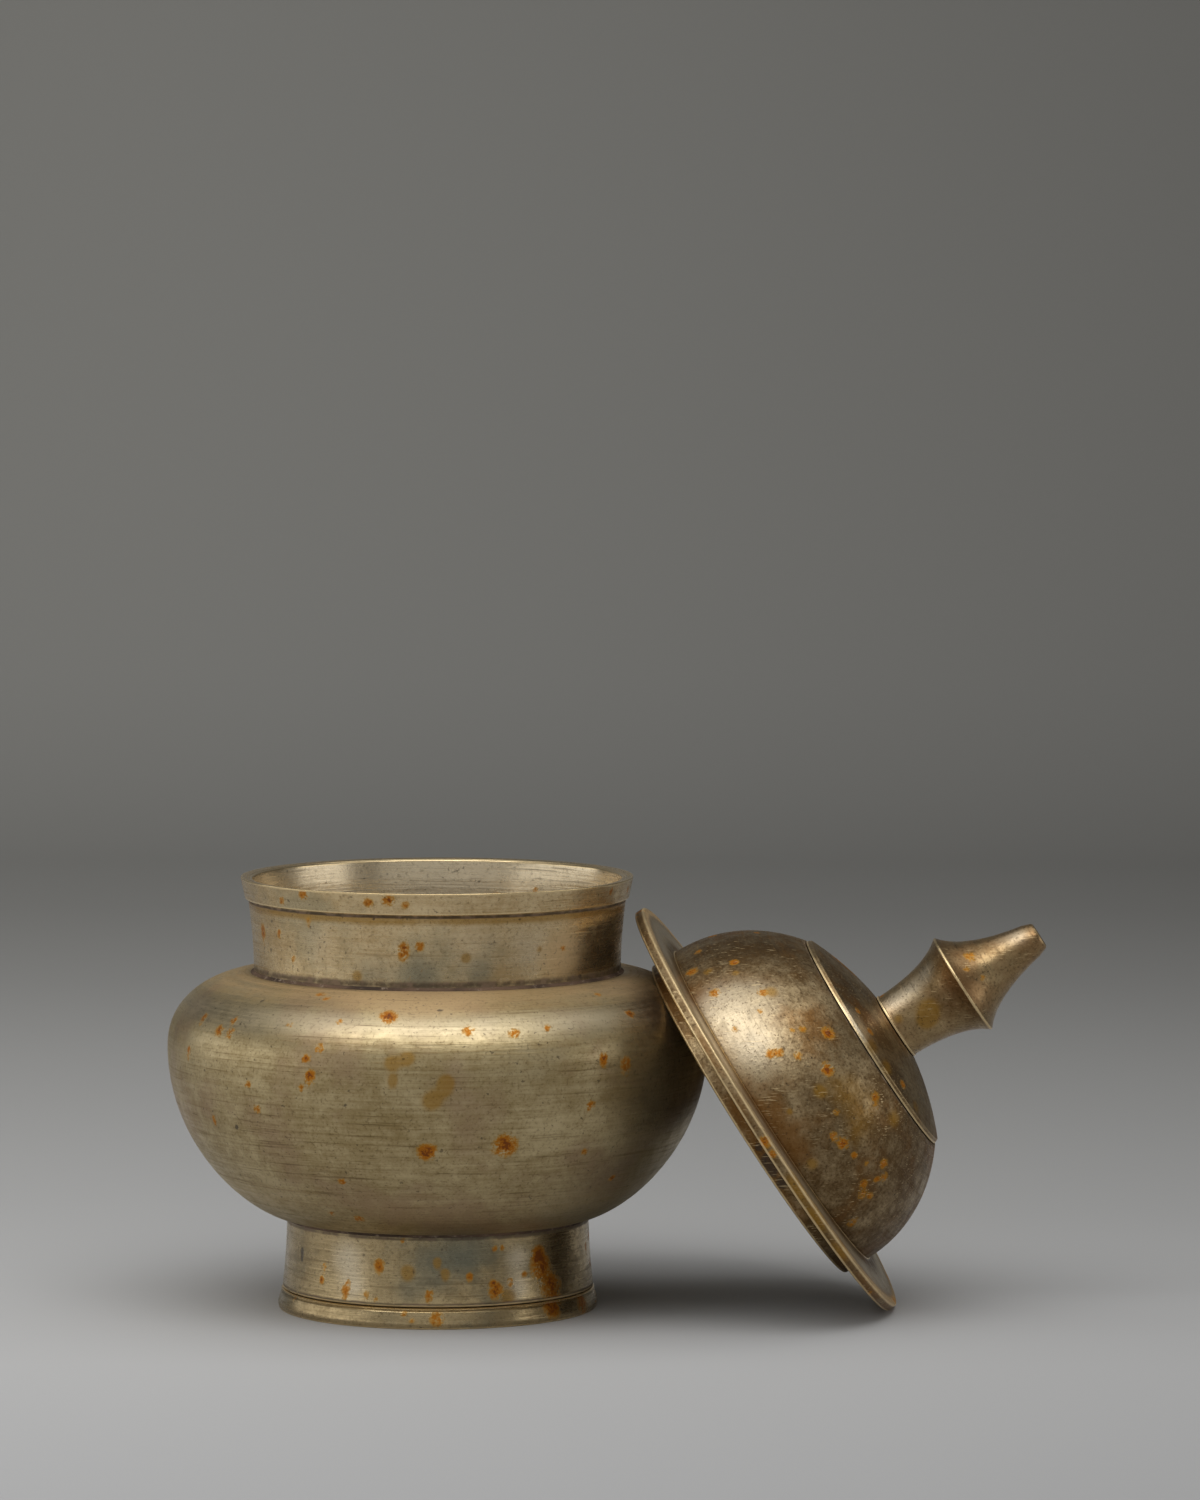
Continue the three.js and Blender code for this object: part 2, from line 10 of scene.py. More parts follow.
import bpy
import numpy as np
from mathutils import Matrix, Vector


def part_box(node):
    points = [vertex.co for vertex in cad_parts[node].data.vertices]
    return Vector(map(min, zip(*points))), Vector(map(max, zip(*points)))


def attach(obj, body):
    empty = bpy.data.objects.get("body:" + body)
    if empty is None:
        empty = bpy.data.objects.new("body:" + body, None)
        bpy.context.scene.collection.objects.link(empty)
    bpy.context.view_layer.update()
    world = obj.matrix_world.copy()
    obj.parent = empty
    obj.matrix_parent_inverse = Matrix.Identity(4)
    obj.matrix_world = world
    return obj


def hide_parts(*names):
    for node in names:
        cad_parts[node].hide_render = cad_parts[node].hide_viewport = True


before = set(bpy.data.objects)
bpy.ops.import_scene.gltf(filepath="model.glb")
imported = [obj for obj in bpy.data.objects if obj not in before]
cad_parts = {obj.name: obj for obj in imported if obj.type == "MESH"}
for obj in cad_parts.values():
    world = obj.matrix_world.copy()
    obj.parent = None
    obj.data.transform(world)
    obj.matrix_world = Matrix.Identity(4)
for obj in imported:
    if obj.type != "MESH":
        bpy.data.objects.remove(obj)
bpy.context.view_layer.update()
print("CAD nodes:", sorted(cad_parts))

# %% [markdown]
# ## The camera
# The picture was taken with a long lens from a little above the rim. Lines of sight on the rim, the foot
# and the lid's rings give a vertical view of about 12 degrees, a camera 1.87 m away and a dip of 4.4
# degrees. The camera could also be aimed with a constraint, but plain angles keep it still when other
# views move it.

# %% Make the camera
belly_low, belly_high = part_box("belly_shell")
POT_X = (belly_low.x + belly_high.x) / 2
CAMERA_PLACE = (POT_X + 0.1076, -1.8734, 0.2935)
CAMERA_DIP = np.radians(4.36)
CAMERA_TURN = np.radians(1.95)
camera_data = bpy.data.cameras.new("camera")
camera_data.sensor_width = 36.0
camera_data.lens = 168.0
camera = bpy.data.objects.new("camera", camera_data)
camera.location = CAMERA_PLACE
camera.rotation_euler = (np.pi / 2 - CAMERA_DIP, 0.0, CAMERA_TURN)
bpy.context.scene.collection.objects.link(camera)
bpy.context.scene.camera = camera
print("pot axis at x =", round(POT_X, 5), "camera at", np.round(CAMERA_PLACE, 4))

# %% [markdown]
# ## From a section to a turned piece
# A turner thinks in sections: radius against height, in millimetres. Three helpers carry that here.
# `eased` softens corners, because a worn arris is never sharp and catches light along its rounding.
# `filled` adds points to long runs, so that stains and smooth shading have something to hold on to.
# `turn`, farther down, carries the section round. A Screw modifier could do it too, but then the pole and
# the attributes that follow the lathe's own directions would need extra work.

# %% Ease and fill a section
MM = 0.001
MOST_CUT = 0.4
ARC_POINTS = 6


def eased(parts, closed):
    """Joins parts (points, ease) into one line and eases its corners. A corner P is cut back by its ease
    to A and B on the two lines that meet there, by at most a share of the shorter one, and replaced by
    the parabola (1-t)^2 A + 2t(1-t) P + t^2 B."""
    corners = np.vstack([np.atleast_2d(points) for points, _ in parts]).astype(float)
    ease = np.concatenate([np.broadcast_to(cut, len(np.atleast_2d(points))) for points, cut in parts])
    to_corner = corners - np.roll(corners, 1, axis=0)
    from_corner = np.roll(corners, -1, axis=0) - corners
    length_in = np.linalg.norm(to_corner, axis=1)
    length_out = np.linalg.norm(from_corner, axis=1)
    cut = np.minimum(ease, MOST_CUT * np.minimum(length_in, length_out))
    if not closed:
        cut[[0, -1]] = 0.0
    before = corners - to_corner * (cut / np.maximum(length_in, 1e-9))[:, None]
    after = corners + from_corner * (cut / np.maximum(length_out, 1e-9))[:, None]
    t = np.linspace(0.0, 1.0, ARC_POINTS)[None, :, None]
    arcs = (1 - t) ** 2 * before[:, None] + 2 * t * (1 - t) * corners[:, None] + t ** 2 * after[:, None]
    line = arcs.reshape(-1, 2)
    apart = np.linalg.norm(np.diff(line, axis=0), axis=1) > 1e-6
    return line[np.concatenate([[True], apart])]


def filled(line, spacing, closed):
    """Divides each step of a line evenly, so that none is longer than the spacing."""
    if closed:
        line = np.vstack([line, line[:1]])
    step = np.diff(line, axis=0)
    shares = np.maximum(1, np.ceil(np.linalg.norm(step, axis=1) / spacing).astype(int))
    index = np.repeat(np.arange(len(step)), shares)
    first = np.cumsum(shares) - shares
    share = (np.arange(shares.sum()) - first[index]) / shares[index]
    points = line[index] + share[:, None] * step[index]
    return points if closed else np.vstack([points, line[-1:]])


# %% [markdown]
# ## Lines of a section
# Most of a section is straight, and a few stretches are curves. Each curve is a formula with a start and an
# end, so that it meets its neighbours exactly. Bezier curves could be drawn by hand instead, but a formula
# is easier to read and to change.

# %% Curves for sections


def swell(level_end, upright_end, across_power, up_power, steps):
    """A quarter swell from its level end to its upright end. As the angle t goes from 90 degrees to 0,
    the radius covers cos(t)^across_power of its way and the height keeps sin(t)^up_power of its way."""
    t = np.linspace(np.pi / 2, 0.0, steps)
    across = np.clip(np.cos(t), 0.0, 1.0) ** across_power
    up = np.sin(t) ** up_power
    radius = level_end[0] + (upright_end[0] - level_end[0]) * across
    height = upright_end[1] + (level_end[1] - upright_end[1]) * up
    return np.column_stack([radius, height])


def flare(start, end, power, steps):
    """A wall from start to end whose radius follows the climb to a power."""
    climb = np.linspace(0.0, 1.0, steps)
    radius = start[0] + (end[0] - start[0]) * climb ** power
    return np.column_stack([radius, start[1] + (end[1] - start[1]) * climb])


def sweep(start, corner, end, steps):
    """A parabola from start to end that leans on a corner: (1-t)^2 start + 2t(1-t) corner + t^2 end."""
    t = np.linspace(0.0, 1.0, steps)[:, None]
    start, corner, end = np.array([start, corner, end], float)
    return (1 - t) ** 2 * start + 2 * t * (1 - t) * corner + t ** 2 * end


def inside(line, wall):
    """The line moved square to itself by a wall's thickness, towards its left."""
    along = np.gradient(line, axis=0)
    along /= np.linalg.norm(along, axis=1)[:, None]
    return line + wall * np.column_stack([-along[:, 1], along[:, 0]])


# %% [markdown]
# ## What a turned surface remembers
# Old metal is not the same all over. Raised edges are rubbed bright, hollows and joints hold dirt, and
# rust-coloured spots sit where water stood. The shape itself says where edges and hollows are, so both are
# measured on the section: the turning of the line, gathered over about a millimetre. What runs all round
# is a ring, at a place on the section. What sits on one side is a stain, at an angle and a height: stains
# on the side that the picture shows follow it, and those on the far side are drawn at random. All of it is
# stored on the points as attributes, which the materials read. A painted image could hold the same, but it
# would have to be unwrapped, and it would blur up close.

# %% Edges, rings and stains
OUTER_FIRST = 0.05


def bends(section, closed, reach):
    """How far the section turns near each point, in radians: the corner angles weighted by a bell curve of
    the distance along the line. It is above 0 on an edge and below 0 in a hollow."""
    step = np.diff(np.vstack([section, section[:1]]), axis=0)
    heading = np.arctan2(step[:, 1], step[:, 0])
    turn_here = (heading - np.roll(heading, 1) + np.pi) % (2 * np.pi) - np.pi
    if not closed:
        turn_here[[0, -1]] = 0.0
    along = np.concatenate([[0.0], np.cumsum(np.linalg.norm(step[:-1], axis=1))])
    apart = along[:, None] - along[None, :]
    return np.exp(-(apart / reach) ** 2) @ turn_here, along


def ring_field(section, rings):
    """Sum of bell curves round places on the section. A ring is (radius, height, reach, strength)."""
    rings = np.asarray(rings, float).reshape(-1, 4)
    far = ((section[:, None, :] - rings[None, :, :2]) ** 2).sum(axis=2) / rings[None, :, 2] ** 2
    return np.exp(-far) @ rings[:, 3]


def stain_field(points, section, stains):
    """Sum of bell curves round stain places. A stain is (angle, height, size, strength, drip): degrees
    round the axis from the viewer's side, then millimetres. It lies on the outer one of the section's
    points at its height, and below its place it is drawn out by its drip."""
    stains = np.asarray(stains, np.float32).reshape(-1, 5)
    nearest = np.abs(section[None, :, 1] - stains[:, 1:2]) - OUTER_FIRST * section[None, :, 0]
    radius = section[np.argmin(nearest, axis=1), 0]
    angle = np.radians(stains[:, 0])
    centre = np.column_stack([radius * np.sin(angle), -radius * np.cos(angle), stains[:, 1]])
    apart = points[:, None, :].astype(np.float32) - centre[None].astype(np.float32)
    size, drip = stains[:, 2], stains[:, 4]
    apart[:, :, 2] *= np.where(apart[:, :, 2] < 0, size / (size + drip), 1.0)
    far = (apart ** 2).sum(axis=2) / size ** 2
    return np.exp(-far) @ stains[:, 3]


def far_stains(count, heights, seed):
    """Stains on the side away from the viewer, by a seeded draw: most of them tiny, a few larger."""
    draw = np.random.default_rng(seed)
    angle = draw.uniform(80.0, 280.0, count)
    height = draw.uniform(heights[0], heights[1], count)
    size = 0.6 + 1.5 * draw.random(count) ** 3
    strength = draw.uniform(0.6, 1.4, count)
    drip = 2.0 * draw.random(count) ** 4
    return np.column_stack([angle, height, size, strength, drip])


# %% [markdown]
# ## Where the pot and the lid stand
# The pot's axis is upright. The lid's axis leans 57.25 degrees towards +X, and its brim stands on the
# table. The brim is leaned first and then moved until its box is the box of the CAD brim, so the scene
# needs no measured offset for the lid. All other pieces of the lid take the same move. Turning finished
# objects would look the same, but the export sets objects to the origin, so a place belongs in the mesh.

# %% Places of pot and lid
LID_LEAN = np.radians(57.25)
BRIM_RADIUS = 63.3
BRIM_TOP = 2.9
BRIM_CORNERS = np.array([
    (BRIM_RADIUS - 0.25, 0.0), (BRIM_RADIUS, 0.25),
    (BRIM_RADIUS, BRIM_TOP - 0.4), (BRIM_RADIUS - 0.7, BRIM_TOP),
])


def leaned(points):
    """Points of the lid in millimetres turned about Y, so that its axis leans towards +X, in metres."""
    x, y, z = np.moveaxis(np.asarray(points, float), -1, 0)
    across = x * np.cos(LID_LEAN) + z * np.sin(LID_LEAN)
    up = -x * np.sin(LID_LEAN) + z * np.cos(LID_LEAN)
    return np.stack([across, y, up], axis=-1) * MM


brim_low, brim_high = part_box("lid_brim")
corner_side = BRIM_CORNERS[:, 0]
brim_ends = np.vstack([
    np.column_stack([corner_side, 0 * corner_side, BRIM_CORNERS[:, 1]]),
    np.column_stack([-corner_side, 0 * corner_side, BRIM_CORNERS[:, 1]]),
])
brim_middle = (leaned(brim_ends).min(axis=0) + leaned(brim_ends).max(axis=0)) / 2
LID_PLACE = np.array((brim_low + brim_high) / 2) - brim_middle
print("lid stands at", np.round(LID_PLACE, 5))


def on_pot(points):
    """Points of the pot in millimetres, moved to the pot's axis, in metres."""
    return points * MM + np.array([POT_X, 0.0, 0.0])


def on_lid(points):
    """Points of the lid in millimetres, leaned and moved to where the lid stands, in metres."""
    return leaned(points) + LID_PLACE


# %% [markdown]
# ## Arithmetic on sockets
# A material is a graph of nodes, and most of it is arithmetic. Wrapping a socket in a small class lets the
# graph be written as expressions: each operator adds one Math node. One more method adds every other kind
# of node, with its settings first and its inputs after. The same graph could be built by hand in the
# shader editor, but a long formula is easier to read and to change as text.

# %% Sockets


class Value:
    """A socket that takes part in arithmetic. Each operator adds a Math node to the socket's tree."""

    def __init__(self, socket):
        self.socket = socket

    def math(self, operation, first, second):
        tree = self.socket.id_data
        node = tree.nodes.new("ShaderNodeMath")
        node.operation = operation
        for slot, item in zip(node.inputs, (first, second)):
            if isinstance(item, Value):
                tree.links.new(item.socket, slot)
            else:
                slot.default_value = item
        return Value(node.outputs[0])

    def __add__(self, other):
        return self.math("ADD", self, other)

    def __radd__(self, other):
        return self.math("ADD", other, self)

    def __sub__(self, other):
        return self.math("SUBTRACT", self, other)

    def __rsub__(self, other):
        return self.math("SUBTRACT", other, self)

    def __mul__(self, other):
        return self.math("MULTIPLY", self, other)

    def __rmul__(self, other):
        return self.math("MULTIPLY", other, self)


# %% A finish in the making


class Finish:
    """A material in the making. `node` adds any node: its type, its settings, then its inputs."""

    def __init__(self, name):
        self.material = bpy.data.materials.new(name)
        self.material.use_nodes = True
        self.tree = self.material.node_tree
        self.shader = self.tree.nodes["Principled BSDF"]

    def plug(self, socket, item):
        if isinstance(item, Value):
            self.tree.links.new(item.socket, socket)
        elif isinstance(item, tuple) and len(item) == 3 and socket.type == "RGBA":
            socket.default_value = (*item, 1.0)
        else:
            socket.default_value = item

    def node(self, kind, settings, inputs, output):
        made = self.tree.nodes.new(kind)
        for key, item in settings.items():
            if key == "stops":
                elements = made.color_ramp.elements
                while len(elements) < len(item):
                    elements.new(1.0)
                for element, (place, colour) in zip(elements, item):
                    element.position = place
                    element.color = (*colour, 1.0)
            else:
                setattr(made, key, item)
        for key, item in inputs.items():
            self.plug(made.inputs[key], item)
        return Value(made.outputs[output])

    def attribute(self, name, output="Fac"):
        return self.node("ShaderNodeAttribute", {"attribute_name": name}, {}, output)

    def noise(self, vector, scale, detail=3.0, roughness=0.55):
        inputs = {"Vector": vector, "Scale": scale, "Detail": detail, "Roughness": roughness}
        return self.node("ShaderNodeTexNoise", {}, inputs, "Fac")

    def scaled(self, vector, by):
        return self.node("ShaderNodeVectorMath", {"operation": "MULTIPLY"}, {0: vector, 1: by}, 0)

    def rise(self, value, low, high):
        settings = {"interpolation_type": "SMOOTHSTEP", "clamp": True}
        inputs = {"Value": value, "From Min": low, "From Max": high}
        return self.node("ShaderNodeMapRange", settings, inputs, 0)

    def mix(self, share, under, over):
        return self.node("ShaderNodeMix", {"data_type": "RGBA"}, {0: share, 6: under, 7: over}, 2)

    def bump(self, strength, distance, height):
        inputs = {"Strength": strength, "Distance": distance, "Height": height}
        self.plug(self.shader.inputs["Normal"], self.node("ShaderNodeBump", {}, inputs, "Normal"))


def shade(red, green, blue):
    """A colour from screen values of 0 to 255, turned into the linear values that the shader works in."""
    screen = np.array([red, green, blue]) / 255
    linear = np.where(screen <= 0.04045, screen / 12.92, ((screen + 0.055) / 1.055) ** 2.4)
    return tuple(float(part) for part in linear)


# %% [markdown]
# ## Aged bronze
# The metal is a pale, slightly green bronze. Age has laid a thin olive-brown tarnish over it in soft
# clouds, and the turner's tool left fine lines that run round each piece. Bare zones are partly bare metal
# and partly a painted highlight, a pale silver where the metal mirrors the lamps. A pale tan is partly dust
# and partly a painted sheen on the shoulder and the neck, and a grey tint on the fronts of the neck and the
# foot is a painted reflection. Olive smears, rust-coloured spots and dark pits sit on top, and a smear ring
# and a grime ring on the neck are a painted shadow under the mouth band. Edges are rubbed to bright gold,
# joints are dark, and the lid and the knob carry fine pale scratches. One recipe covers all of it, and each
# part of the object gets its own colours and amounts. Image textures could hold such stains too, but noise
# has no seams, no fixed resolution and follows the object at any distance.

# %% Noises of a turned and aged surface


def skin_of(made):
    """The noises that all layers share. Clouds, patches, mottle and grain go from broad to fine. Fine and
    broad lines are drawn out round the axis, and scores are the deepest of them."""
    place = made.node("ShaderNodeTexCoord", {}, {}, "Object")
    lathe = made.attribute("lathe", "Vector")
    fine = made.noise(made.scaled(lathe, (45.0, 45.0, 1500.0)), 1.0, 3.0, 0.65)
    broad = made.noise(made.scaled(lathe, (16.0, 16.0, 480.0)), 1.0, 3.0, 0.6)
    return SimpleNamespace(
        place=place,
        clouds=made.noise(place, 22.0, 4.0),
        patches=made.noise(place, 80.0, 5.0, 0.6),
        mottle=made.noise(place, 300.0, 4.0, 0.6),
        grain=made.noise(place, 1300.0, 3.0, 0.6),
        fine=fine,
        broad=broad,
        scores=made.rise(fine, 0.56, 0.68) * made.rise(broad, 0.42, 0.6),
    )


# %% Tarnish, bloom, bare metal and painted highlight, dust and painted sheen, painted reflection
# Bare metal with a painted silver highlight, dust with a painted sheen, and a painted grey reflection.
BARE_AND_HIGHLIGHT_SILVER = shade(210, 200, 180)
DUST_AND_SHEEN_TAN = shade(196, 166, 122)
PAINTED_GREY_REFLECTION = shade(104, 110, 100)
TOOL_LINE = shade(84, 66, 42)


def tarnished(made, skin, pale, deep, bloom, lines, age, blooming):
    """Pale metal under clouds and lines of deep tarnish, then a bloom, then what zones have of bare metal
    and a painted highlight, of dust and a painted sheen, and of a painted grey reflection, and dark scores.
    Returns the colour, the tarnish, and the dust and sheen."""
    # Bare zones are partly bare metal and partly a painted highlight, and they hold back the tarnish.
    bare = made.rise(made.attribute("bare") * (0.5 + skin.patches), 0.1, 0.9)
    tone = skin.clouds * 0.5 + skin.patches * 0.5 + skin.mottle * 0.4 + skin.grain * 0.3
    tone = tone + skin.fine * lines + skin.broad * lines
    middle = 0.85 + lines - age
    tarnish = made.rise(tone, middle - 0.25, middle + 0.25) * (1.0 - bare * 0.85)
    colour = made.mix(tarnish, pale, deep)
    veil = made.rise(made.noise(skin.place, 38.0, 5.0, 0.6), 0.46, 0.66) * (1.0 - bare * 0.7)
    colour = made.mix(veil * blooming, colour, bloom)
    # Painted highlight: bare zones turn towards a pale silver.
    colour = made.mix(bare * 0.5, colour, BARE_AND_HIGHLIGHT_SILVER)
    # Dust and painted sheen: a pale tan that also takes away metal and adds roughness.
    dull = made.rise(made.attribute("dull") * (0.2 + skin.patches * 0.6 + skin.broad * 0.9), 0.1, 0.9)
    colour = made.mix(dull * 0.75, colour, DUST_AND_SHEEN_TAN)
    # Painted reflection: a grey tint on the fronts of the neck and the foot.
    film = made.rise(made.attribute("film") * (0.3 + skin.patches + skin.mottle * 0.4), 0.1, 0.9)
    colour = made.mix(film * 0.48, colour, PAINTED_GREY_REFLECTION)
    colour = made.mix(skin.scores * (lines * 1.2), colour, TOOL_LINE)
    return colour, tarnish, dull


# %% Smears, some of them painted shade, and rust
# The olive colours smears, and on the neck also a painted shadow under the mouth band.
OLIVE_SMEAR_AND_SHADE = shade(160, 118, 36)
RUST_HALO = shade(190, 138, 44)
RUST_CORE = shade(180, 108, 14)
RUST_HEART = shade(122, 58, 10)


def rusted(made, skin, colour):
    """Olive smears, which on the neck also paint a shadow under the mouth band, then rust with a pale halo,
    an orange core and a dark heart, all broken up by grain and mottle. Returns the colour, the halo and the
    heart."""
    # Smears: olive smears, and on the neck a painted shadow under the mouth band.
    smear = made.rise(made.attribute("smear") * (0.4 + 1.2 * skin.patches), 0.15, 0.75)
    colour = made.mix(smear * 0.65, colour, OLIVE_SMEAR_AND_SHADE)
    crumbled = 0.15 + made.rise(skin.grain, 0.36, 0.64) + 0.9 * made.rise(skin.mottle, 0.36, 0.64)
    ragged = made.attribute("rust") * crumbled
    halo = made.rise(ragged, 0.1, 0.4)
    core = made.rise(ragged, 0.3, 0.75)
    heart = made.rise(ragged, 0.95, 1.5)
    colour = made.mix(halo * 0.65, colour, RUST_HALO)
    colour = made.mix(core * 0.85, colour, RUST_CORE)
    colour = made.mix(heart * 0.85, colour, RUST_HEART)
    return colour, halo, heart


# %% Specks, pits, dirt and painted shade, wear and scratches
DARK_SPECK = shade(84, 66, 44)
PIT_BROWN = shade(60, 50, 40)
# The dark colour is dirt, and on the neck also a painted shadow under the mouth band.
DIRT_AND_SHADE_DARK = shade(54, 40, 28)
DIRT_PALE = shade(114, 94, 78)
RUBBED_GOLD = shade(236, 210, 160)


def handled(made, skin, colour, speckle):
    """Dark specks, pinholes and pits, crumbs of dirt, which on the neck also paint a shadow under the mouth
    band, rubbed edges, and pale scratches where the speckle is strong. Returns the colour, the pits, the
    dirt and painted shade, and the wear."""
    colour = made.mix(made.rise(skin.grain, 0.55, 0.7) * speckle, colour, DARK_SPECK)
    pinholes = made.rise(made.noise(skin.place, 800.0, 2.0), 0.66, 0.74)
    pits = made.rise(made.attribute("pit") * (0.2 + skin.mottle * 1.6), 0.3, 0.6)
    colour = made.mix(pinholes * 0.6 + pits * 0.75, colour, PIT_BROWN)
    # Grime: dirt in hollows and joints, and on the neck a painted shadow under the mouth band.
    grime = made.rise(made.attribute("grime") * (0.2 + skin.mottle * 1.6), 0.3, 1.0)
    dirt_and_shade_colour = made.mix(made.rise(skin.mottle, 0.46, 0.62), DIRT_AND_SHADE_DARK, DIRT_PALE)
    colour = made.mix(grime * 0.85, colour, dirt_and_shade_colour)
    wear = made.rise(made.attribute("wear") * (0.5 + skin.mottle), 0.45, 1.1)
    colour = made.mix(wear * 0.75, colour, RUBBED_GOLD)
    scratched = made.noise(made.scaled(skin.place, (260.0, 900.0, 3000.0)), 1.0, 2.0)
    scratches = made.rise(scratched, 0.6, 0.7) * made.rise(skin.patches, 0.42, 0.58)
    colour = made.mix(scratches * max(0.0, 1.6 * speckle - 0.56), colour, RUBBED_GOLD)
    return colour, pits, grime, wear


# %% [markdown]
# ## The recipe and its finishes
# The layers give a base colour. What lies on the metal also decides how dull it is, how much of a mirror is
# left, and how it stands up or sinks in, so the same layers feed the roughness, the metal and the bump.
# Six materials could be built one by one, but they would drift apart, and the pot is of one metal.

# %% The bronze recipe


def bronze(name, pale, deep, bloom, rough, lines, age, speckle, blooming):
    """A bronze with its own colours. `rough` is its dullness, `lines` the depth of the turning lines, `age`
    more tarnish, `speckle` dark specks and scratches, and `blooming` how strong the bloom is."""
    made = Finish(name)
    skin = skin_of(made)
    colour, tarnish, dull = tarnished(made, skin, pale, deep, bloom, lines, age, blooming)
    colour, halo, heart = rusted(made, skin, colour)
    colour, pits, grime, wear = handled(made, skin, colour, speckle)
    made.plug(made.shader.inputs["Base Color"], colour)

    roughness = rough + (skin.mottle - 0.5) * (0.05 + speckle * 0.5) + (skin.fine - 0.5) * 0.3
    roughness = roughness + tarnish * 0.06 + halo * 0.12 + grime * 0.25
    roughness = roughness + skin.scores * 0.1 + dull * 0.2 - wear * 0.08
    made.plug(made.shader.inputs["Roughness"], roughness)
    metal = 0.96 - tarnish * 0.08 - dull * 0.5 - heart * 0.2 - grime * 0.4 - pits * 0.3
    made.plug(made.shader.inputs["Metallic"], metal)
    height = (skin.fine + skin.broad) * lines + (skin.grain + skin.mottle) * speckle ** 2
    made.bump(0.6, 0.0003, height + halo * 0.1 - pits * 0.4 - skin.scores * 0.1)
    return made.material


# %% Finishes of the bronze
FINISHES = {
    "pot_bronze": bronze(
        "pot_bronze", shade(196, 178, 138), shade(150, 130, 88), shade(160, 134, 106),
        rough=0.39, lines=0.34, age=0.0, speckle=0.35, blooming=0.6,
    ),
    "neck_bronze": bronze(
        "neck_bronze", shade(228, 204, 160), shade(184, 156, 110), shade(154, 147, 120),
        rough=0.24, lines=0.26, age=0.0, speckle=0.35, blooming=0.55,
    ),
    "foot_bronze": bronze(
        "foot_bronze", shade(192, 171, 130), shade(144, 124, 88), shade(112, 113, 98),
        rough=0.24, lines=0.28, age=0.0, speckle=0.35, blooming=0.6,
    ),
    "lid_bronze": bronze(
        "lid_bronze", shade(196, 174, 134), shade(96, 73, 42), shade(130, 88, 38),
        rough=0.38, lines=0.05, age=0.11, speckle=0.65, blooming=0.7,
    ),
    "knob_bronze": bronze(
        "knob_bronze", shade(176, 152, 112), shade(112, 88, 53), shade(130, 90, 54),
        rough=0.33, lines=0.08, age=-0.04, speckle=0.6, blooming=0.5,
    ),
    "inner_brass": bronze(
        "inner_brass", shade(150, 130, 88), shade(110, 92, 60), shade(104, 88, 62),
        rough=0.45, lines=0.2, age=0.0, speckle=0.3, blooming=0.5,
    ),
}

# %% [markdown]
# ## The solder crust
# Neck and foot are joined to the belly with a filler that has gone grey and brown. It is dull and crumbly,
# so it has little metal in it, a high roughness and a coarse bump. Displacing the mesh could make real
# lumps, but the seams are under a millimetre wide, where a bump looks the same.

# %% The crust's finish
crust = Finish("solder_crust")
crust_place = crust.node("ShaderNodeTexCoord", {}, {}, "Object")
crust_lumps = crust.noise(crust_place, 420.0, 5.0, 0.7)
crust_clouds = crust.noise(crust_place, 70.0, 3.0)
crust_colour = crust.mix(crust.rise(crust_clouds, 0.35, 0.65), shade(104, 80, 60), shade(56, 40, 26))
crust_colour = crust.mix(crust.rise(crust_lumps, 0.52, 0.66), crust_colour, shade(140, 122, 104))
crust.plug(crust.shader.inputs["Base Color"], crust_colour)
crust.plug(crust.shader.inputs["Roughness"], 0.62 + crust_lumps * 0.3)
crust.plug(crust.shader.inputs["Metallic"], 0.1)
crust.bump(0.7, 0.0006, crust_lumps)
FINISHES["solder"] = crust.material
print("finishes:", sorted(FINISHES))

# %% [markdown]
# ## The turned piece
# The last helpers make the mesh. Rings of points stand at equal angles, quads join them, and a section
# that starts and ends on the axis gets one shared point at each end, so that poles are closed.
# Hand turning leaves a form a little out of true, so the pot's radius dips by up to a fifth of a
# millimetre, alike on all its pieces, which keeps their joints tight.

# %% Carry a section round
AXIS_REACH = 20.0


def turn(section, sides, closed, uneven):
    """A point at radius r and height h, turned by a from the viewer's side, is (r sin a, -r cos a, h). The
    radius is first reduced by uneven times 2 + sin(2a + 0.7 + h/40) + sin(3a + 2.1 - h/25), which fades
    out close to the axis."""
    rings = section if closed else section[1:-1]
    angle = 2 * np.pi * np.arange(sides) / sides
    radius = np.repeat(rings[:, :1], sides, axis=1)
    height = np.repeat(rings[:, 1:], sides, axis=1)
    wave = 2 + np.sin(2 * angle + 0.7 + height / 40) + np.sin(3 * angle + 2.1 - height / 25)
    radius = radius - uneven * wave * np.minimum(1.0, radius / AXIS_REACH)
    points = np.stack([radius * np.sin(angle), -radius * np.cos(angle), height], axis=-1).reshape(-1, 3)
    index = np.arange(len(rings) * sides).reshape(len(rings), sides)
    if closed:
        index = np.vstack([index, index[:1]])
    beside = np.roll(index, -1, axis=1)
    quads = np.stack([index[:-1], beside[:-1], beside[1:], index[1:]], axis=-1).reshape(-1, 4)
    if closed:
        return points, quads, np.empty((0, 3), int)
    poles = np.array([[0.0, 0.0, section[0, 1]], [0.0, 0.0, section[-1, 1]]])
    foot, top = len(points), len(points) + 1
    fan_foot = np.stack([np.full(sides, foot), beside[0], index[0]], axis=-1)
    fan_top = np.stack([index[-1], beside[-1], np.full(sides, top)], axis=-1)
    return np.vstack([points, poles]), quads, np.vstack([fan_foot, fan_top])


# %% [markdown]
# ## Storing the age
# Eight kinds of mark are stored on the points: worn edges, grime and painted shade, bare metal and a
# painted highlight, dust and a painted sheen, a painted grey reflection, olive smears and painted shade,
# rust and pits.
# One more attribute, `lathe`, holds each point's place across the axis and its way along the section, so
# that noise can follow the turner's tool. Vertex groups could hold the amounts as well, but attributes also
# hold vectors, and a shader reads them by name.

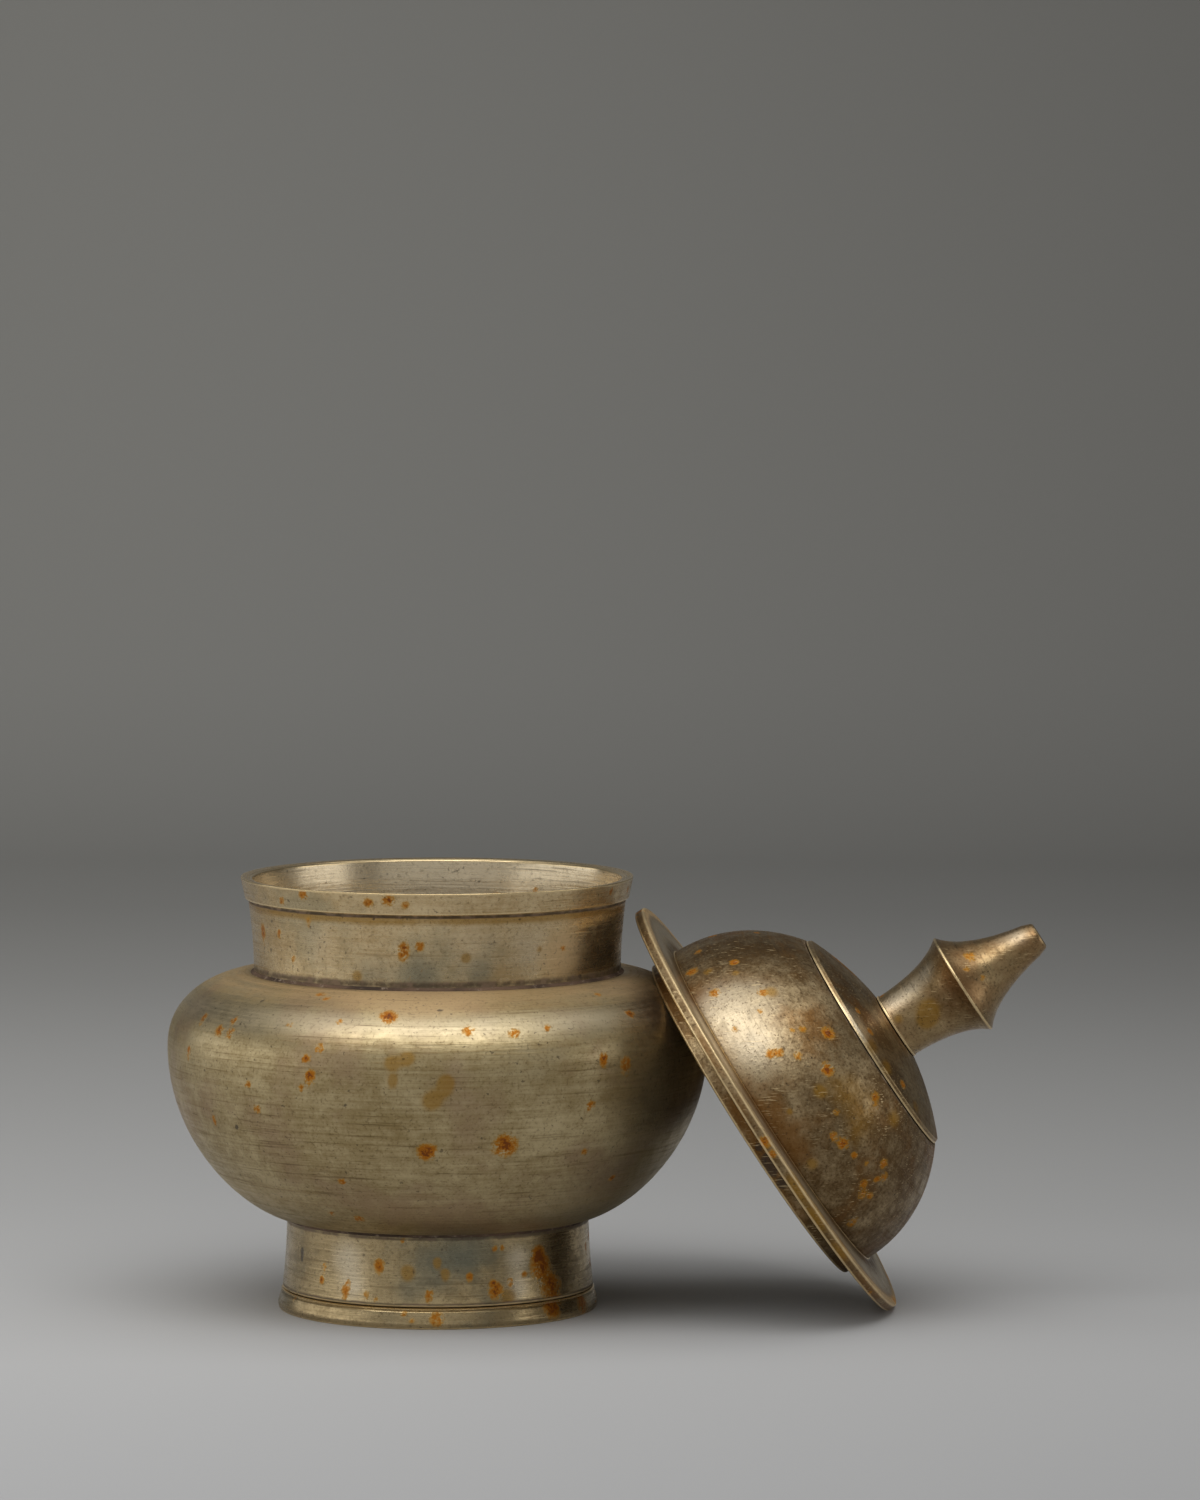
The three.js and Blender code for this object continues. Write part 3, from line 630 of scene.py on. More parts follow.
# %% Make a turned piece
KINDS = ("wear", "grime", "bare", "dull", "film", "smear", "rust", "pit")
EDGE_REACH, HOLLOW_REACH = 0.45, 1.1
MOST_BEND = 2.0
PLACES = {"pot": on_pot, "lid": on_lid}
UNEVEN = {"pot": 0.05, "lid": 0.0}


def ring_values(section, closed, rings):
    """What the section remembers of each kind, from its edges, its hollows and its rings, and the way
    along it to each point."""
    edge, along = bends(section, closed, EDGE_REACH)
    hollow, _ = bends(section, closed, HOLLOW_REACH)
    values = {kind: ring_field(section, rings.get(kind, ())) for kind in KINDS}
    values["wear"] += np.clip(edge, 0.0, MOST_BEND)
    values["grime"] += np.clip(-hollow, 0.0, MOST_BEND)
    return values, along


def store(mesh, name, values):
    """Puts one number or one vector on every point of a mesh."""
    kind, key = ("FLOAT", "value") if values.ndim == 1 else ("FLOAT_VECTOR", "vector")
    layer = mesh.attributes.new(name, kind, "POINT")
    layer.data.foreach_set(key, values.astype(np.float32).ravel())


def turned_piece(name, node, body, slot, parts, sides, spacing, marks, rings, closed=True):
    """Eases, fills and turns a section, puts it in its place and stores what the surface remembers."""
    section = filled(eased(parts, closed), spacing, closed)
    points, quads, fans = turn(section, sides, closed, UNEVEN[body])
    values, along = ring_values(section, closed, rings)
    ring_index = np.arange(len(section)) if closed else np.arange(1, len(section) - 1)
    point_ring = np.repeat(ring_index, sides)
    if not closed:
        point_ring = np.concatenate([point_ring, [0, len(section) - 1]])
    mesh = bpy.data.meshes.new(name)
    mesh.from_pydata(PLACES[body](points), [], quads.tolist() + fans.tolist())
    mesh.shade_smooth()
    store(mesh, "lathe", np.column_stack([points[:, :2], along[point_ring]]) * MM)
    for kind in KINDS:
        store(mesh, kind, values[kind][point_ring] + stain_field(points, section, marks.get(kind, [])))
    mesh.materials.append(FINISHES[slot])
    piece = bpy.data.objects.new(name, mesh)
    bpy.context.scene.collection.objects.link(piece)
    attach(piece, body)
    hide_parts(node)
    print(name, len(quads) * 2 + len(fans), "triangles")
    return piece


# %% [markdown]
# ## The belly
# A spun bowl with a closed, sagging bottom and a flat shoulder. Its outer line is two quarter swells that
# meet at the widest ring: the lower one is drawn in towards the foot and the upper one rolls over flat.
# The inner wall is the same line moved in by the wall's thickness. A sphere could be pushed into this
# shape by hand, but a formula keeps the line fair and the sizes those of the CAD shell.

# %% Belly section
FOOT_LEVEL = 25.0
BELLY_LEVEL = 71.0
SHOULDER_LEVEL = 90.8
SEAT_LEVEL = 89.8
BELLY_RADIUS, BELLY_WALL = 72.8, 2.6
BELLY_FOOT_RADIUS, SHOULDER_RADIUS = 41.7, 50.4
SEAT_RADIUS, MOUTH_RADIUS = 49.7, 47.3
BOWL_RADIUS, BOWL_SAG = 37.1, 5.0
belly_line = np.vstack([
    swell((BELLY_FOOT_RADIUS, FOOT_LEVEL), (BELLY_RADIUS, BELLY_LEVEL), 1.39, 1.0, 82),
    swell((SHOULDER_RADIUS, SHOULDER_LEVEL), (BELLY_RADIUS, BELLY_LEVEL), 1.03, 0.91, 46)[::-1][1:],
])
bowl_share = np.linspace(0.0, 1.0, 12)
bowl_bottom = np.column_stack([BOWL_RADIUS * bowl_share, FOOT_LEVEL - BOWL_SAG * (1 - bowl_share ** 2)])
neck_seat = [
    (SEAT_RADIUS, SHOULDER_LEVEL), (SEAT_RADIUS, SEAT_LEVEL),
    (MOUTH_RADIUS, SEAT_LEVEL), (MOUTH_RADIUS, SHOULDER_LEVEL - BELLY_WALL),
]
belly_parts = [
    (bowl_bottom, 0.0),
    (belly_line, 0.0),
    (neck_seat, 0.2),
    (inside(belly_line, BELLY_WALL)[::-3], 0.0),
    (bowl_bottom[::-1] + (0.0, BELLY_WALL), 0.0),
]

# %% Belly with its stains
belly_rust = [
    (-60, 82.0, 1.2, 0.84, 2.7), (-48, 82.9, 0.9, 0.98, 0.8), (-51, 79.6, 1.4, 1.1, 0.0),
    (-47, 79.8, 1.0, 1.26, 0.8), (-62, 73.4, 0.8, 0.98, 1.7), (-31, 82.9, 0.8, 0.84, 0.0),
    (-29, 90.0, 1.2, 0.84, 0.0), (-26, 89.2, 0.9, 0.84, 0.0), (-19, 84.4, 0.8, 0.84, 0.0),
    (-8, 85.9, 1.9, 1.3, 0.0), (-22, 77.8, 0.9, 1.12, 0.6), (-25, 74.9, 0.9, 1.26, 0.0),
    (-24, 70.4, 1.2, 1.3, 1.0), (-40, 66.7, 0.8, 0.84, 0.0), (-26, 67.0, 0.9, 0.84, 0.0),
    (-38, 60.6, 0.9, 1.0, 0.4), (-28, 61.0, 1.2, 1.1, 0.8), (-54, 55.7, 0.8, 0.84, 1.7),
    (1, 50.8, 1.9, 1.5, 0.2), (3.5, 51.5, 0.9, 1.2, 0.0), (-20, 41.7, 0.8, 1.12, 0.0),
    (-28, 31.6, 0.9, 1.1, 0.0), (-20, 30.2, 1.2, 1.26, 0.0), (10, 82.4, 1.2, 0.98, 0.0),
    (20, 81.7, 1.2, 1.12, 0.0), (28, 82.6, 0.8, 0.98, 0.4), (38, 80.1, 1.0, 0.98, 1.7),
    (40, 74.3, 1.0, 1.26, 1.1), (46, 72.2, 1.4, 0.9, 1.5), (52, 84.4, 1.3, 1.0, 0.0),
    (48, 89.1, 0.9, 0.84, 0.0), (37, 61.8, 1.0, 1.26, 0.6), (38, 49.0, 0.9, 0.84, 0.0),
    (18, 52.2, 2.5, 1.5, 0.0), (51, 40.2, 0.8, 0.98, 0.2),
]
belly_marks = {
    "rust": np.vstack([belly_rust, far_stains(40, (30.0, 90.0), seed=11)]),
    # Dust and painted sheen: the middle of the shoulder is paler, a painted glow of its bright band.
    "dull": [(-2, 89.6, 16.0, 0.45, 0.0), (-2, 90.4, 9.0, 0.3, 0.0)],
    "smear": [
        (-6, 74.4, 2.1, 1.3, 0.0), (-3, 75.6, 1.8, 1.3, 0.0), (-6, 70.2, 1.4, 1.3, 1.1),
        (2, 64.7, 2.6, 1.3, 0.0), (5, 69.4, 2.0, 1.4, 1.1),
    ],
    "pit": [
        (-23, 63.6, 0.7, 0.8, 0.0), (-16, 63.2, 0.7, 0.8, 0.0), (-46, 54.5, 0.8, 1.0, 0.0),
        (-44, 87.6, 0.8, 1.0, 0.0), (4, 87.4, 0.8, 1.0, 0.0),
    ],
}
belly_rings = {
    "grime": [(42.2, 25.4, 1.1, 0.9)],
    # Painted highlight: the bare rings turn the shoulder's bright band silver.
    "bare": [(66.0, 85.0, 4.0, 0.35), (69.5, 82.0, 4.0, 0.35)],
    # Dust and painted sheen: the first three rings pale the shoulder's top up to the neck as a painted
    # glow.
    "dull": [
        (53.0, 90.6, 3.5, 0.55), (58.0, 89.8, 3.5, 0.45), (62.5, 88.0, 3.5, 0.35), (56.0, 36.0, 9.0, 0.35),
    ],
}
turned_piece(
    "belly", "belly_shell", "pot", "pot_bronze", belly_parts,
    sides=400, spacing=3.0, marks=belly_marks, rings=belly_rings, closed=False,
)

# %% [markdown]
# ## Neck and mouth band
# The neck is a waisted collar that stands in a seat in the shoulder. A plain band sits on a step at its
# upper end, leans out a little, and ends in a narrow top face that falls towards the mouth. Both could be
# one mesh, but two pieces keep the fine dark line of the joint, and each takes stains of its own.

# %% Neck and band sections
NECK_RADIUS, NECK_TOP_RADIUS = 49.5, 51.0
SEAM_TOP = 91.6
BAND_LEVEL = 110.9
STEP_RADIUS, STEP_LEVEL = 50.6, 116.35
LIP_RADIUS, LIP_LEVEL = 49.9, 116.2
neck_parts = [
    ([(NECK_RADIUS, SEAT_LEVEL)], 0.0),
    (flare((NECK_RADIUS, SEAM_TOP), (NECK_TOP_RADIUS, BAND_LEVEL), 1.8, 32), 0.0),
    ([(STEP_RADIUS, BAND_LEVEL)], 0.0),
    ([(STEP_RADIUS, STEP_LEVEL), (LIP_RADIUS, LIP_LEVEL)], 0.3),
    ([(49.2, BAND_LEVEL), (MOUTH_RADIUS, SEAT_LEVEL)], 0.0),
]
band_parts = [
    ([(STEP_RADIUS, BAND_LEVEL), (51.8, BAND_LEVEL)], 0.15),
    ([(53.0, 116.7)], 0.35),
    ([(STEP_RADIUS, STEP_LEVEL)], 0.0),
]

# %% Neck and band with their stains
neck_rust = [
    (-65, 104.1, 1.2, 0.84, 2.6), (-54, 104.2, 0.8, 1.0, 1.0), (-47, 105.1, 0.9, 1.26, 0.1),
    (-39, 108.7, 1.4, 0.8, 1.1), (-47, 97.6, 0.8, 0.84, 0.6), (-7, 101.9, 1.2, 1.5, 1.4),
    (-6, 104.9, 1.0, 1.0, 0.3), (-2, 102.8, 1.0, 1.0, 0.3), (-1, 96.9, 1.2, 1.12, 0.6),
    (-5, 94.4, 1.2, 1.26, 0.0), (57, 96.8, 0.9, 0.98, 0.9), (45, 100.7, 0.8, 0.84, 0.0),
]
neck_marks = {
    "rust": np.vstack([neck_rust, far_stains(18, (92.0, 110.0), seed=12)]),
    # Painted reflection: grey on the neck's front.
    "film": [(-2, 95.0, 6.0, 0.8, 0.0), (-18, 94.0, 5.0, 0.6, 0.0), (16, 95.0, 5.0, 0.6, 0.0)],
    # Painted highlight: a pale patch where the neck mirrors a lamp on the right.
    "dull": [(45, 99.0, 9.0, 0.8, 0.0)],
    "smear": [(12, 99.4, 1.4, 1.2, 0.0), (-22, 94.3, 1.6, 1.0, 0.0), (36, 101.0, 1.0, 0.8, 0.0)],
    # Painted highlight: pale silver bands where the neck mirrors the lamps.
    "bare": [(-36, 100.0, 7.0, 0.35, 0.0), (14, 100.0, 8.0, 0.35, 0.0), (33, 100.0, 7.0, 0.45, 0.0)],
    "pit": [
        (16, 95.7, 1.6, 1.2, 0.0), (-60, 98.8, 0.7, 0.8, 0.0), (-16, 109.7, 0.6, 0.8, 0.0),
        (53, 92.8, 0.9, 0.8, 0.0),
    ],
}
MOUTH_LEAN = 0.13
mouth_levels = np.arange(103.0, 117.0, 1.6)
neck_rings = {
    # The first grime ring is dirt at the neck's root. The second one and the smear ring make a dark brown
    # line, a painted shadow under the mouth band.
    "grime": [(49.6, 92.2, 1.3, 1.0), (51.0, 110.5, 0.5, 1.8)],
    "smear": [(50.9, 109.4, 1.4, 0.8)],
    # Painted highlight: the bare rings make the inside of the mouth pale silver all round.
    "bare": [(LIP_RADIUS - MOUTH_LEAN * (LIP_LEVEL - level), level, 1.2, 0.9) for level in mouth_levels],
}
turned_piece(
    "neck", "neck_collar", "pot", "neck_bronze", neck_parts,
    sides=480, spacing=1.2, marks=neck_marks, rings=neck_rings,
)
band_rust = [
    (-49, 113.1, 0.9, 1.2, 0.3), (-39, 115.2, 1.4, 0.8, 0.0), (-17, 114.1, 1.0, 1.3, 0.0),
    (-11, 114.9, 1.4, 1.3, 0.0), (-6, 113.8, 1.0, 0.6, 0.0), (65, 114.7, 0.6, 1.2, 0.3),
]
band_marks = {"rust": np.vstack([band_rust, far_stains(12, (111.0, 116.5), seed=13)])}
band_rings = {"grime": [(51.6, 110.9, 0.3, 1.0)]}
turned_piece(
    "mouth_ring", "mouth_band", "pot", "neck_bronze", band_parts,
    sides=480, spacing=0.6, marks=band_marks, rings=band_rings,
)

# %% [markdown]
# ## Foot
# A ring foot, waisted like the neck. A turned band with a fine bead over it stands round its bottom edge.
# A tapered cylinder with bevels would come close. A section also gives the waist and the bead, and it
# stays in step with the belly, because both use the same level.

# %% Foot and base band sections
FOOT_RADIUS, FOOT_STEP_RADIUS, FOOT_INNER = 40.8, 41.0, 38.2
FOOT_STEP_LEVEL, FOOT_SEAM_LEVEL = 5.9, 24.2
BASE_RADIUS, BEAD_RADIUS, GROOVE_RADIUS = 43.2, 42.4, 42.0
BEAD_TOP = 5.5
foot_parts = [
    ([(FOOT_STEP_RADIUS, 0.0), (FOOT_STEP_RADIUS, FOOT_STEP_LEVEL)], 0.0),
    (flare((FOOT_RADIUS, FOOT_SEAM_LEVEL), (GROOVE_RADIUS, FOOT_STEP_LEVEL), 1.8, 32)[::-1], 0.0),
    ([(FOOT_RADIUS, FOOT_LEVEL), (38.0, FOOT_LEVEL)], 0.0),
    ([(FOOT_INNER, FOOT_STEP_LEVEL)], 0.0),
    ([(FOOT_INNER, 0.0)], 0.5),
]
base_parts = [
    ([(FOOT_STEP_RADIUS, 0.0)], 0.0),
    (sweep((42.6, 0.0), (BASE_RADIUS, 0.0), (BASE_RADIUS, 1.6), 8), 0.0),
    ([(BEAD_RADIUS, 4.5)], 0.22),
    ([(GROOVE_RADIUS, 4.9)], 0.1),
    ([(BEAD_RADIUS, 5.2)], 0.12),
    ([(GROOVE_RADIUS, BEAD_TOP)], 0.0),
    ([(FOOT_STEP_RADIUS, BEAD_TOP)], 0.0),
]

# %% Foot and base band with their stains
foot_rust = [
    (-44, 15.2, 0.7, 0.8, 1.2), (-45, 11.4, 0.7, 1.1, 0.5), (-33, 9.3, 1.1, 0.9, 1.4),
    (-32, 11.3, 0.7, 0.9, 0.4), (-24, 8.7, 0.8, 0.8, 0.5), (-19, 16.8, 1.2, 1.0, 0.9),
    (0, 9.6, 1.0, 0.9, 1.2), (-10, 23.4, 0.5, 1.2, 0.0), (25, 9.7, 1.8, 1.2, 0.0),
    (24, 12.0, 0.7, 0.9, 0.2), (31, 12.0, 0.7, 1.1, 0.5), (37, 13.4, 0.7, 0.8, 0.0),
    (25, 21.1, 0.6, 1.0, 0.2), (28, 21.1, 0.6, 1.0, 0.1), (44, 18.4, 1.7, 1.4, 0.2),
    (45, 14.8, 2.8, 1.2, 0.0), (50, 9.3, 3.0, 1.2, 1.5), (15, 14.0, 0.8, 0.8, 0.7),
    (79, 17.6, 0.8, 0.6, 1.4), (-20, 7.5, 0.7, 0.6, 0.0),
]
foot_marks = {
    "rust": np.vstack([foot_rust, far_stains(30, (7.0, 23.0), seed=14)]),
    # Painted reflection: grey on the foot's front.
    "film": [(2, 15.0, 6.0, 0.9, 0.0), (-8, 10.0, 5.0, 0.7, 0.0), (14, 19.0, 5.0, 0.7, 0.0)],
    "smear": [
        (-8, 15.0, 1.9, 1.2, 0.5), (3, 17.9, 1.1, 1.1, 0.9), (6, 14.8, 1.2, 1.2, 0.9),
        (30, 8.0, 2.5, 0.9, 0.0),
    ],
    "pit": [(-59, 17.7, 1.0, 0.9, 0.7), (-59, 15.3, 0.8, 0.8, 0.0)],
    # Painted highlight: pale zones on the left and the right, where the foot mirrors the lamps.
    "bare": [
        (-33, 18.0, 6.0, 0.7, 0.0), (-30, 10.0, 5.0, 0.6, 0.0), (34, 18.0, 4.0, 0.8, 0.0),
        (34, 10.0, 4.0, 0.8, 0.0),
    ],
}
foot_rings = {"grime": [(40.9, 23.9, 0.8, 0.9), (42.0, 6.2, 0.6, 1.1)]}
turned_piece(
    "foot", "foot_ring", "pot", "foot_bronze", foot_parts,
    sides=480, spacing=1.2, marks=foot_marks, rings=foot_rings,
)
base_rust = [
    (49, 4.2, 2.6, 1.2, 0.0), (68, 3.0, 2.2, 1.1, 0.5), (-62, 5.2, 0.7, 0.8, 0.5),
    (-9, 4.2, 0.7, 0.9, 0.0), (-3, 3.6, 0.7, 1.1, 0.0), (3, 2.9, 1.7, 0.8, 0.0),
    (-6, 2.7, 0.8, 0.6, 0.0),
]
base_marks = {"rust": np.vstack([base_rust, far_stains(16, (0.5, 5.0), seed=15)])}
base_rings = {"grime": [(43.0, 0.4, 0.5, 0.5)]}
turned_piece(
    "foot_band", "foot_base_band", "pot", "foot_bronze", base_parts,
    sides=480, spacing=0.5, marks=base_marks, rings=base_rings,
)

# %% [markdown]
# ## The solder seams
# Two small fillets, one round the neck's root and one under the belly round the foot's top. Each fills the
# corner between two pieces, with its face drawn in a little. A sculpted bead could be lumpier, but at
# this size the finish shows the lumps, and a plain fillet keeps the joint tight.

# %% Solder seams
neck_seam_parts = [
    ([(NECK_RADIUS, SHOULDER_LEVEL), (SHOULDER_RADIUS, SHOULDER_LEVEL)], 0.0),
    ([(49.85, 91.05)], 0.2),
    ([(NECK_RADIUS, SEAM_TOP)], 0.0),
]
foot_seam_parts = [
    ([(FOOT_RADIUS, FOOT_SEAM_LEVEL)], 0.0),
    ([(41.1, 24.75)], 0.2),
    ([(BELLY_FOOT_RADIUS, FOOT_LEVEL), (FOOT_RADIUS, FOOT_LEVEL)], 0.0),
]
turned_piece(
    "neck_seam", "neck_solder_seam", "pot", "solder", neck_seam_parts,
    sides=320, spacing=0.25, marks={}, rings={},
)
turned_piece(
    "foot_seam", "foot_solder_seam", "pot", "solder", foot_seam_parts,
    sides=288, spacing=0.25, marks={}, rings={},
)

# %% [markdown]
# ## The lid's brim and locating ring
# The brim is a flat ring with an upright edge band between two bright arrises, and it sweeps up to the dome
# in a shallow hollow. The locating ring under it drops into the pot's mouth when the lid is on. A bevel
# with many segments could make the hollow, but a parabola between named points says where it ends.

# %% Brim and locating ring
BRIM_BORE, DOME_SEAT_RADIUS, LEDGE_RADIUS = 49.0, 48.65, 45.8
DOME_SEAT_LEVEL, LEDGE_LEVEL = 2.2, 0.8
SPIGOT_RADIUS, SPIGOT_BORE = 48.7, 47.5
SPIGOT_BOTTOM, SPIGOT_TOP = -4.15, 0.5
dome_seat = [
    (DOME_SEAT_RADIUS, DOME_SEAT_LEVEL), (LEDGE_RADIUS, DOME_SEAT_LEVEL), (LEDGE_RADIUS, LEDGE_LEVEL),
]
brim_parts = [
    ([(BRIM_BORE, LEDGE_LEVEL), (BRIM_BORE, 0.0)], 0.0),
    (BRIM_CORNERS[:2], 0.12),
    (BRIM_CORNERS[2:], 0.2),
    (sweep((60.9, BRIM_TOP), (DOME_SEAT_RADIUS, BRIM_TOP), (DOME_SEAT_RADIUS, 3.4), 14), 0.0),
    (dome_seat, 0.1),
]
spigot_parts = [
    ([(SPIGOT_BORE, SPIGOT_BOTTOM)], 0.2),
    ([(SPIGOT_RADIUS - 0.3, SPIGOT_BOTTOM), (SPIGOT_RADIUS, SPIGOT_BOTTOM + 0.3)], 0.12),
    ([(SPIGOT_RADIUS, SPIGOT_TOP), (SPIGOT_BORE, SPIGOT_TOP)], 0.0),
]
brim_rust = [(0.5, 1.4, 1.4, 1.1, 0.0), (4, 1.4, 1.0, 0.9, 0.0), (56, 0.6, 0.7, 0.7, 0.0)]
brim_marks = {
    "rust": np.vstack([brim_rust, far_stains(30, (0.2, 3.0), seed=16)]),
    "smear": [(14, 1.4, 5.0, 0.8, 0.0), (24, 1.4, 5.0, 0.8, 0.0), (36, 1.4, 5.0, 0.7, 0.0)],
}
# The dust ring paints a highlight along the brim's top edge.
brim_rings = {"bare": [(56.0, 3.0, 5.0, 0.75)], "dull": [(61.8, 2.9, 2.0, 0.8)]}
turned_piece(
    "brim", "lid_brim", "lid", "lid_bronze", brim_parts,
    sides=560, spacing=0.8, marks=brim_marks, rings=brim_rings,
)
spigot_marks = {
    "pit": [
        (3, -2.0, 1.2, 0.8, 0.0), (8, -2.0, 2.0, 1.0, 0.0), (12, -2.6, 1.6, 0.9, 0.0),
        (17, -2.0, 1.8, 1.0, 0.0),
    ],
}
# The grime ring makes the locating ring darker just under the brim.
spigot_rings = {"grime": [(48.7, -0.3, 1.0, 0.8)]}
turned_piece(
    "locating_ring", "lid_spigot", "lid", "lid_bronze", spigot_parts,
    sides=400, spacing=0.6, marks=spigot_marks, rings=spigot_rings,
)

# %% [markdown]
# ## Dome and crown
# The dome is a steep wall that curves in as a quarter ellipse. On its top edge sits the crown, a shallow
# cap with a proud edge over a fine groove. A squashed half sphere would look alike from outside. The
# formula also gives the inner wall and stops where the crown sits.

# %% Dome and crown sections
LID_WALL = 2.2
DOME_RADIUS, DOME_SPRING, DOME_RISE = 48.6, 4.0, 41.2
DOME_TOP_RADIUS, DOME_BORE = 32.7, 28.5
CROWN_RADIUS, CROWN_EDGE, CROWN_RISE = 31.6, 32.1, 6.4
COLLAR_RADIUS, COLLAR_BORE, COLLAR_DROP = 28.2, 26.0, 1.5
KNOB_FLAT_RADIUS, TENON_HOLE = 9.9, 3.3
DOME_TOP = DOME_SPRING + DOME_RISE * np.sqrt(1 - (DOME_TOP_RADIUS / DOME_RADIUS) ** 2)
CROWN_SEAT = DOME_TOP + 0.3
CROWN_ARRIS = DOME_TOP + 1.5
KNOB_FLAT = CROWN_ARRIS + CROWN_RISE


def dome_line(wall, top_radius, steps):
    """Points on the dome's quarter ellipse, shrunk all round by a wall, from its spring to a radius."""
    t = np.linspace(0.0, np.arccos(top_radius / (DOME_RADIUS - wall)), steps)
    height = DOME_SPRING + (DOME_RISE - wall) * np.sin(t)
    return np.column_stack([(DOME_RADIUS - wall) * np.cos(t), height])


def crown_line(outer_radius, lowered, steps):
    """The cap from an outer radius in to the knob's flat: its level falls with the radius squared."""
    radius = np.linspace(outer_radius, KNOB_FLAT_RADIUS, steps)
    fall = (radius ** 2 - KNOB_FLAT_RADIUS ** 2) / (CROWN_RADIUS ** 2 - KNOB_FLAT_RADIUS ** 2)
    return np.column_stack([radius, KNOB_FLAT - CROWN_RISE * fall - lowered])


dome_inner = dome_line(LID_WALL, DOME_BORE, 40)[::-1]
dome_parts = [
    ([(DOME_RADIUS - LID_WALL, 2.5), (DOME_RADIUS, 2.5)], 0.0),
    (dome_line(0.0, DOME_TOP_RADIUS, 64), 0.0),
    ([(DOME_BORE, DOME_TOP)], 0.0),
    (dome_inner[dome_inner[:, 1] < DOME_TOP - 0.3], 0.0),
]
crown_top = crown_line(CROWN_RADIUS, 0.0, 40)
crown_parts = [
    (crown_line(COLLAR_BORE, LID_WALL, 24)[::-1], 0.0),
    ([(COLLAR_BORE, DOME_TOP - COLLAR_DROP), (COLLAR_RADIUS, DOME_TOP - COLLAR_DROP)], 0.2),
    ([(COLLAR_RADIUS, CROWN_SEAT)], 0.0),
    ([(CROWN_EDGE, CROWN_SEAT)], 0.12),
    (crown_top[:1], 0.25),
    (crown_top[1:], 0.0),
    ([(TENON_HOLE, KNOB_FLAT), (TENON_HOLE, KNOB_FLAT - LID_WALL)], 0.0),
]

# %% Dome and crown with their stains
dome_rust = [
    (-75, 9.8, 1.1, 0.8, 0.0), (-60, 17.1, 1.0, 1.3, 0.0), (-64, 6.0, 1.5, 0.9, 0.0),
    (-49, 9.0, 1.3, 0.9, 0.0), (-42, 19.9, 1.4, 0.6, 0.0), (-20, 13.5, 1.1, 0.9, 0.0),
    (-14, 16.6, 0.6, 1.0, 0.0), (-18, 28.9, 1.5, 1.3, 0.0), (-6, 24.0, 1.5, 1.4, 0.0),
    (5, 14.0, 1.2, 1.2, 0.0), (8, 19.9, 0.9, 0.6, 0.0), (14, 15.8, 1.2, 0.9, 0.0),
    (18, 17.0, 1.3, 1.4, 0.0), (24, 17.5, 0.8, 1.0, 0.0), (14, 30.1, 1.5, 0.6, 0.0),
    (17, 29.0, 1.0, 0.6, 0.0), (36, 22.4, 1.3, 0.7, 0.0), (40, 20.4, 1.3, 0.7, 0.0),
    (38, 18.6, 0.8, 0.8, 0.0), (35, 15.2, 1.2, 0.6, 0.0), (38, 13.4, 1.4, 0.7, 0.0),
    (41, 14.8, 0.9, 0.7, 0.0), (30, 19.0, 0.8, 0.5, 0.0), (45, 7.1, 1.6, 0.6, 0.0),
    (-24, 21.5, 0.7, 0.6, 0.0), (-48, 11.2, 1.3, 0.5, 0.0), (-23, 24.0, 1.0, 0.5, 0.0),
    (-19, 15.7, 1.1, 0.8, 0.0), (-15, 19.3, 1.1, 0.6, 0.0), (-35, 17.1, 0.8, 0.5, 0.0),
    (-33, 8.9, 0.8, 0.5, 0.0),
]
dome_marks = {
    "rust": np.vstack([dome_rust, far_stains(40, (4.0, 34.0), seed=18)]),
    "smear": [
        (-41, 21.8, 2.2, 0.8, 0.0), (-54, 16.2, 1.2, 0.8, 0.0), (-60, 10.0, 1.5, 0.8, 0.0),
        (-1, 19.2, 1.5, 0.9, 0.0), (-1, 10.0, 1.0, 0.9, 0.0), (17, 7.3, 1.8, 0.9, 0.0),
        (28, 31.0, 2.6, 0.7, 0.0), (0, 24.0, 7.0, 0.4, 0.0), (12, 27.0, 7.0, 0.35, 0.0),
        (20, 21.0, 6.0, 0.35, 0.0),
    ],
    # The bare patches sit where the dome mirrors the key lamp: partly bare metal, partly a painted silver
    # highlight.
    "bare": [(-44, 8.0, 10.0, 0.55, 0.0), (-24, 10.0, 10.0, 0.65, 0.0), (-40, 20.0, 9.0, 0.3, 0.0)],
}
dome_rings = {"grime": [(32.8, 34.4, 0.4, 1.2), (48.6, 3.4, 0.5, 0.5)]}
turned_piece(
    "dome", "lid_dome", "lid", "lid_bronze", dome_parts,
    sides=480, spacing=2.0, marks=dome_marks, rings=dome_rings,
)
crown_rust = [(-25, 37.8, 0.9, 0.9, 0.0), (-11, 37.9, 1.0, 0.9, 0.0), (24, 37.5, 1.4, 0.6, 0.0)]
crown_marks = {
    "rust": np.vstack([crown_rust, far_stains(14, (36.5, 42.0), seed=19)]),
    "smear": [(-4, 36.6, 2.6, 1.0, 0.0), (9, 36.8, 2.4, 0.9, 0.0), (40, 37.0, 2.2, 0.8, 0.0)],
    "bare": [(-12, 35.5, 4.0, 0.9, 0.0), (-24, 36.0, 4.0, 0.6, 0.0)],
}
turned_piece(
    "crown", "lid_crown", "lid", "lid_bronze", crown_parts,
    sides=400, spacing=0.8, marks=crown_marks, rings={},
)

# %% [markdown]
# ## Knob and washer
# The knob is a turned finial: a stem that flares to a sharp arris, and a hollow cone that ends in a blunt
# tip. Its tenon goes through the crown and is peened over a washer inside. A Bezier curve under a Screw
# modifier would make it too. Two parabolas that meet at the arris are enough, and they keep it sharp.

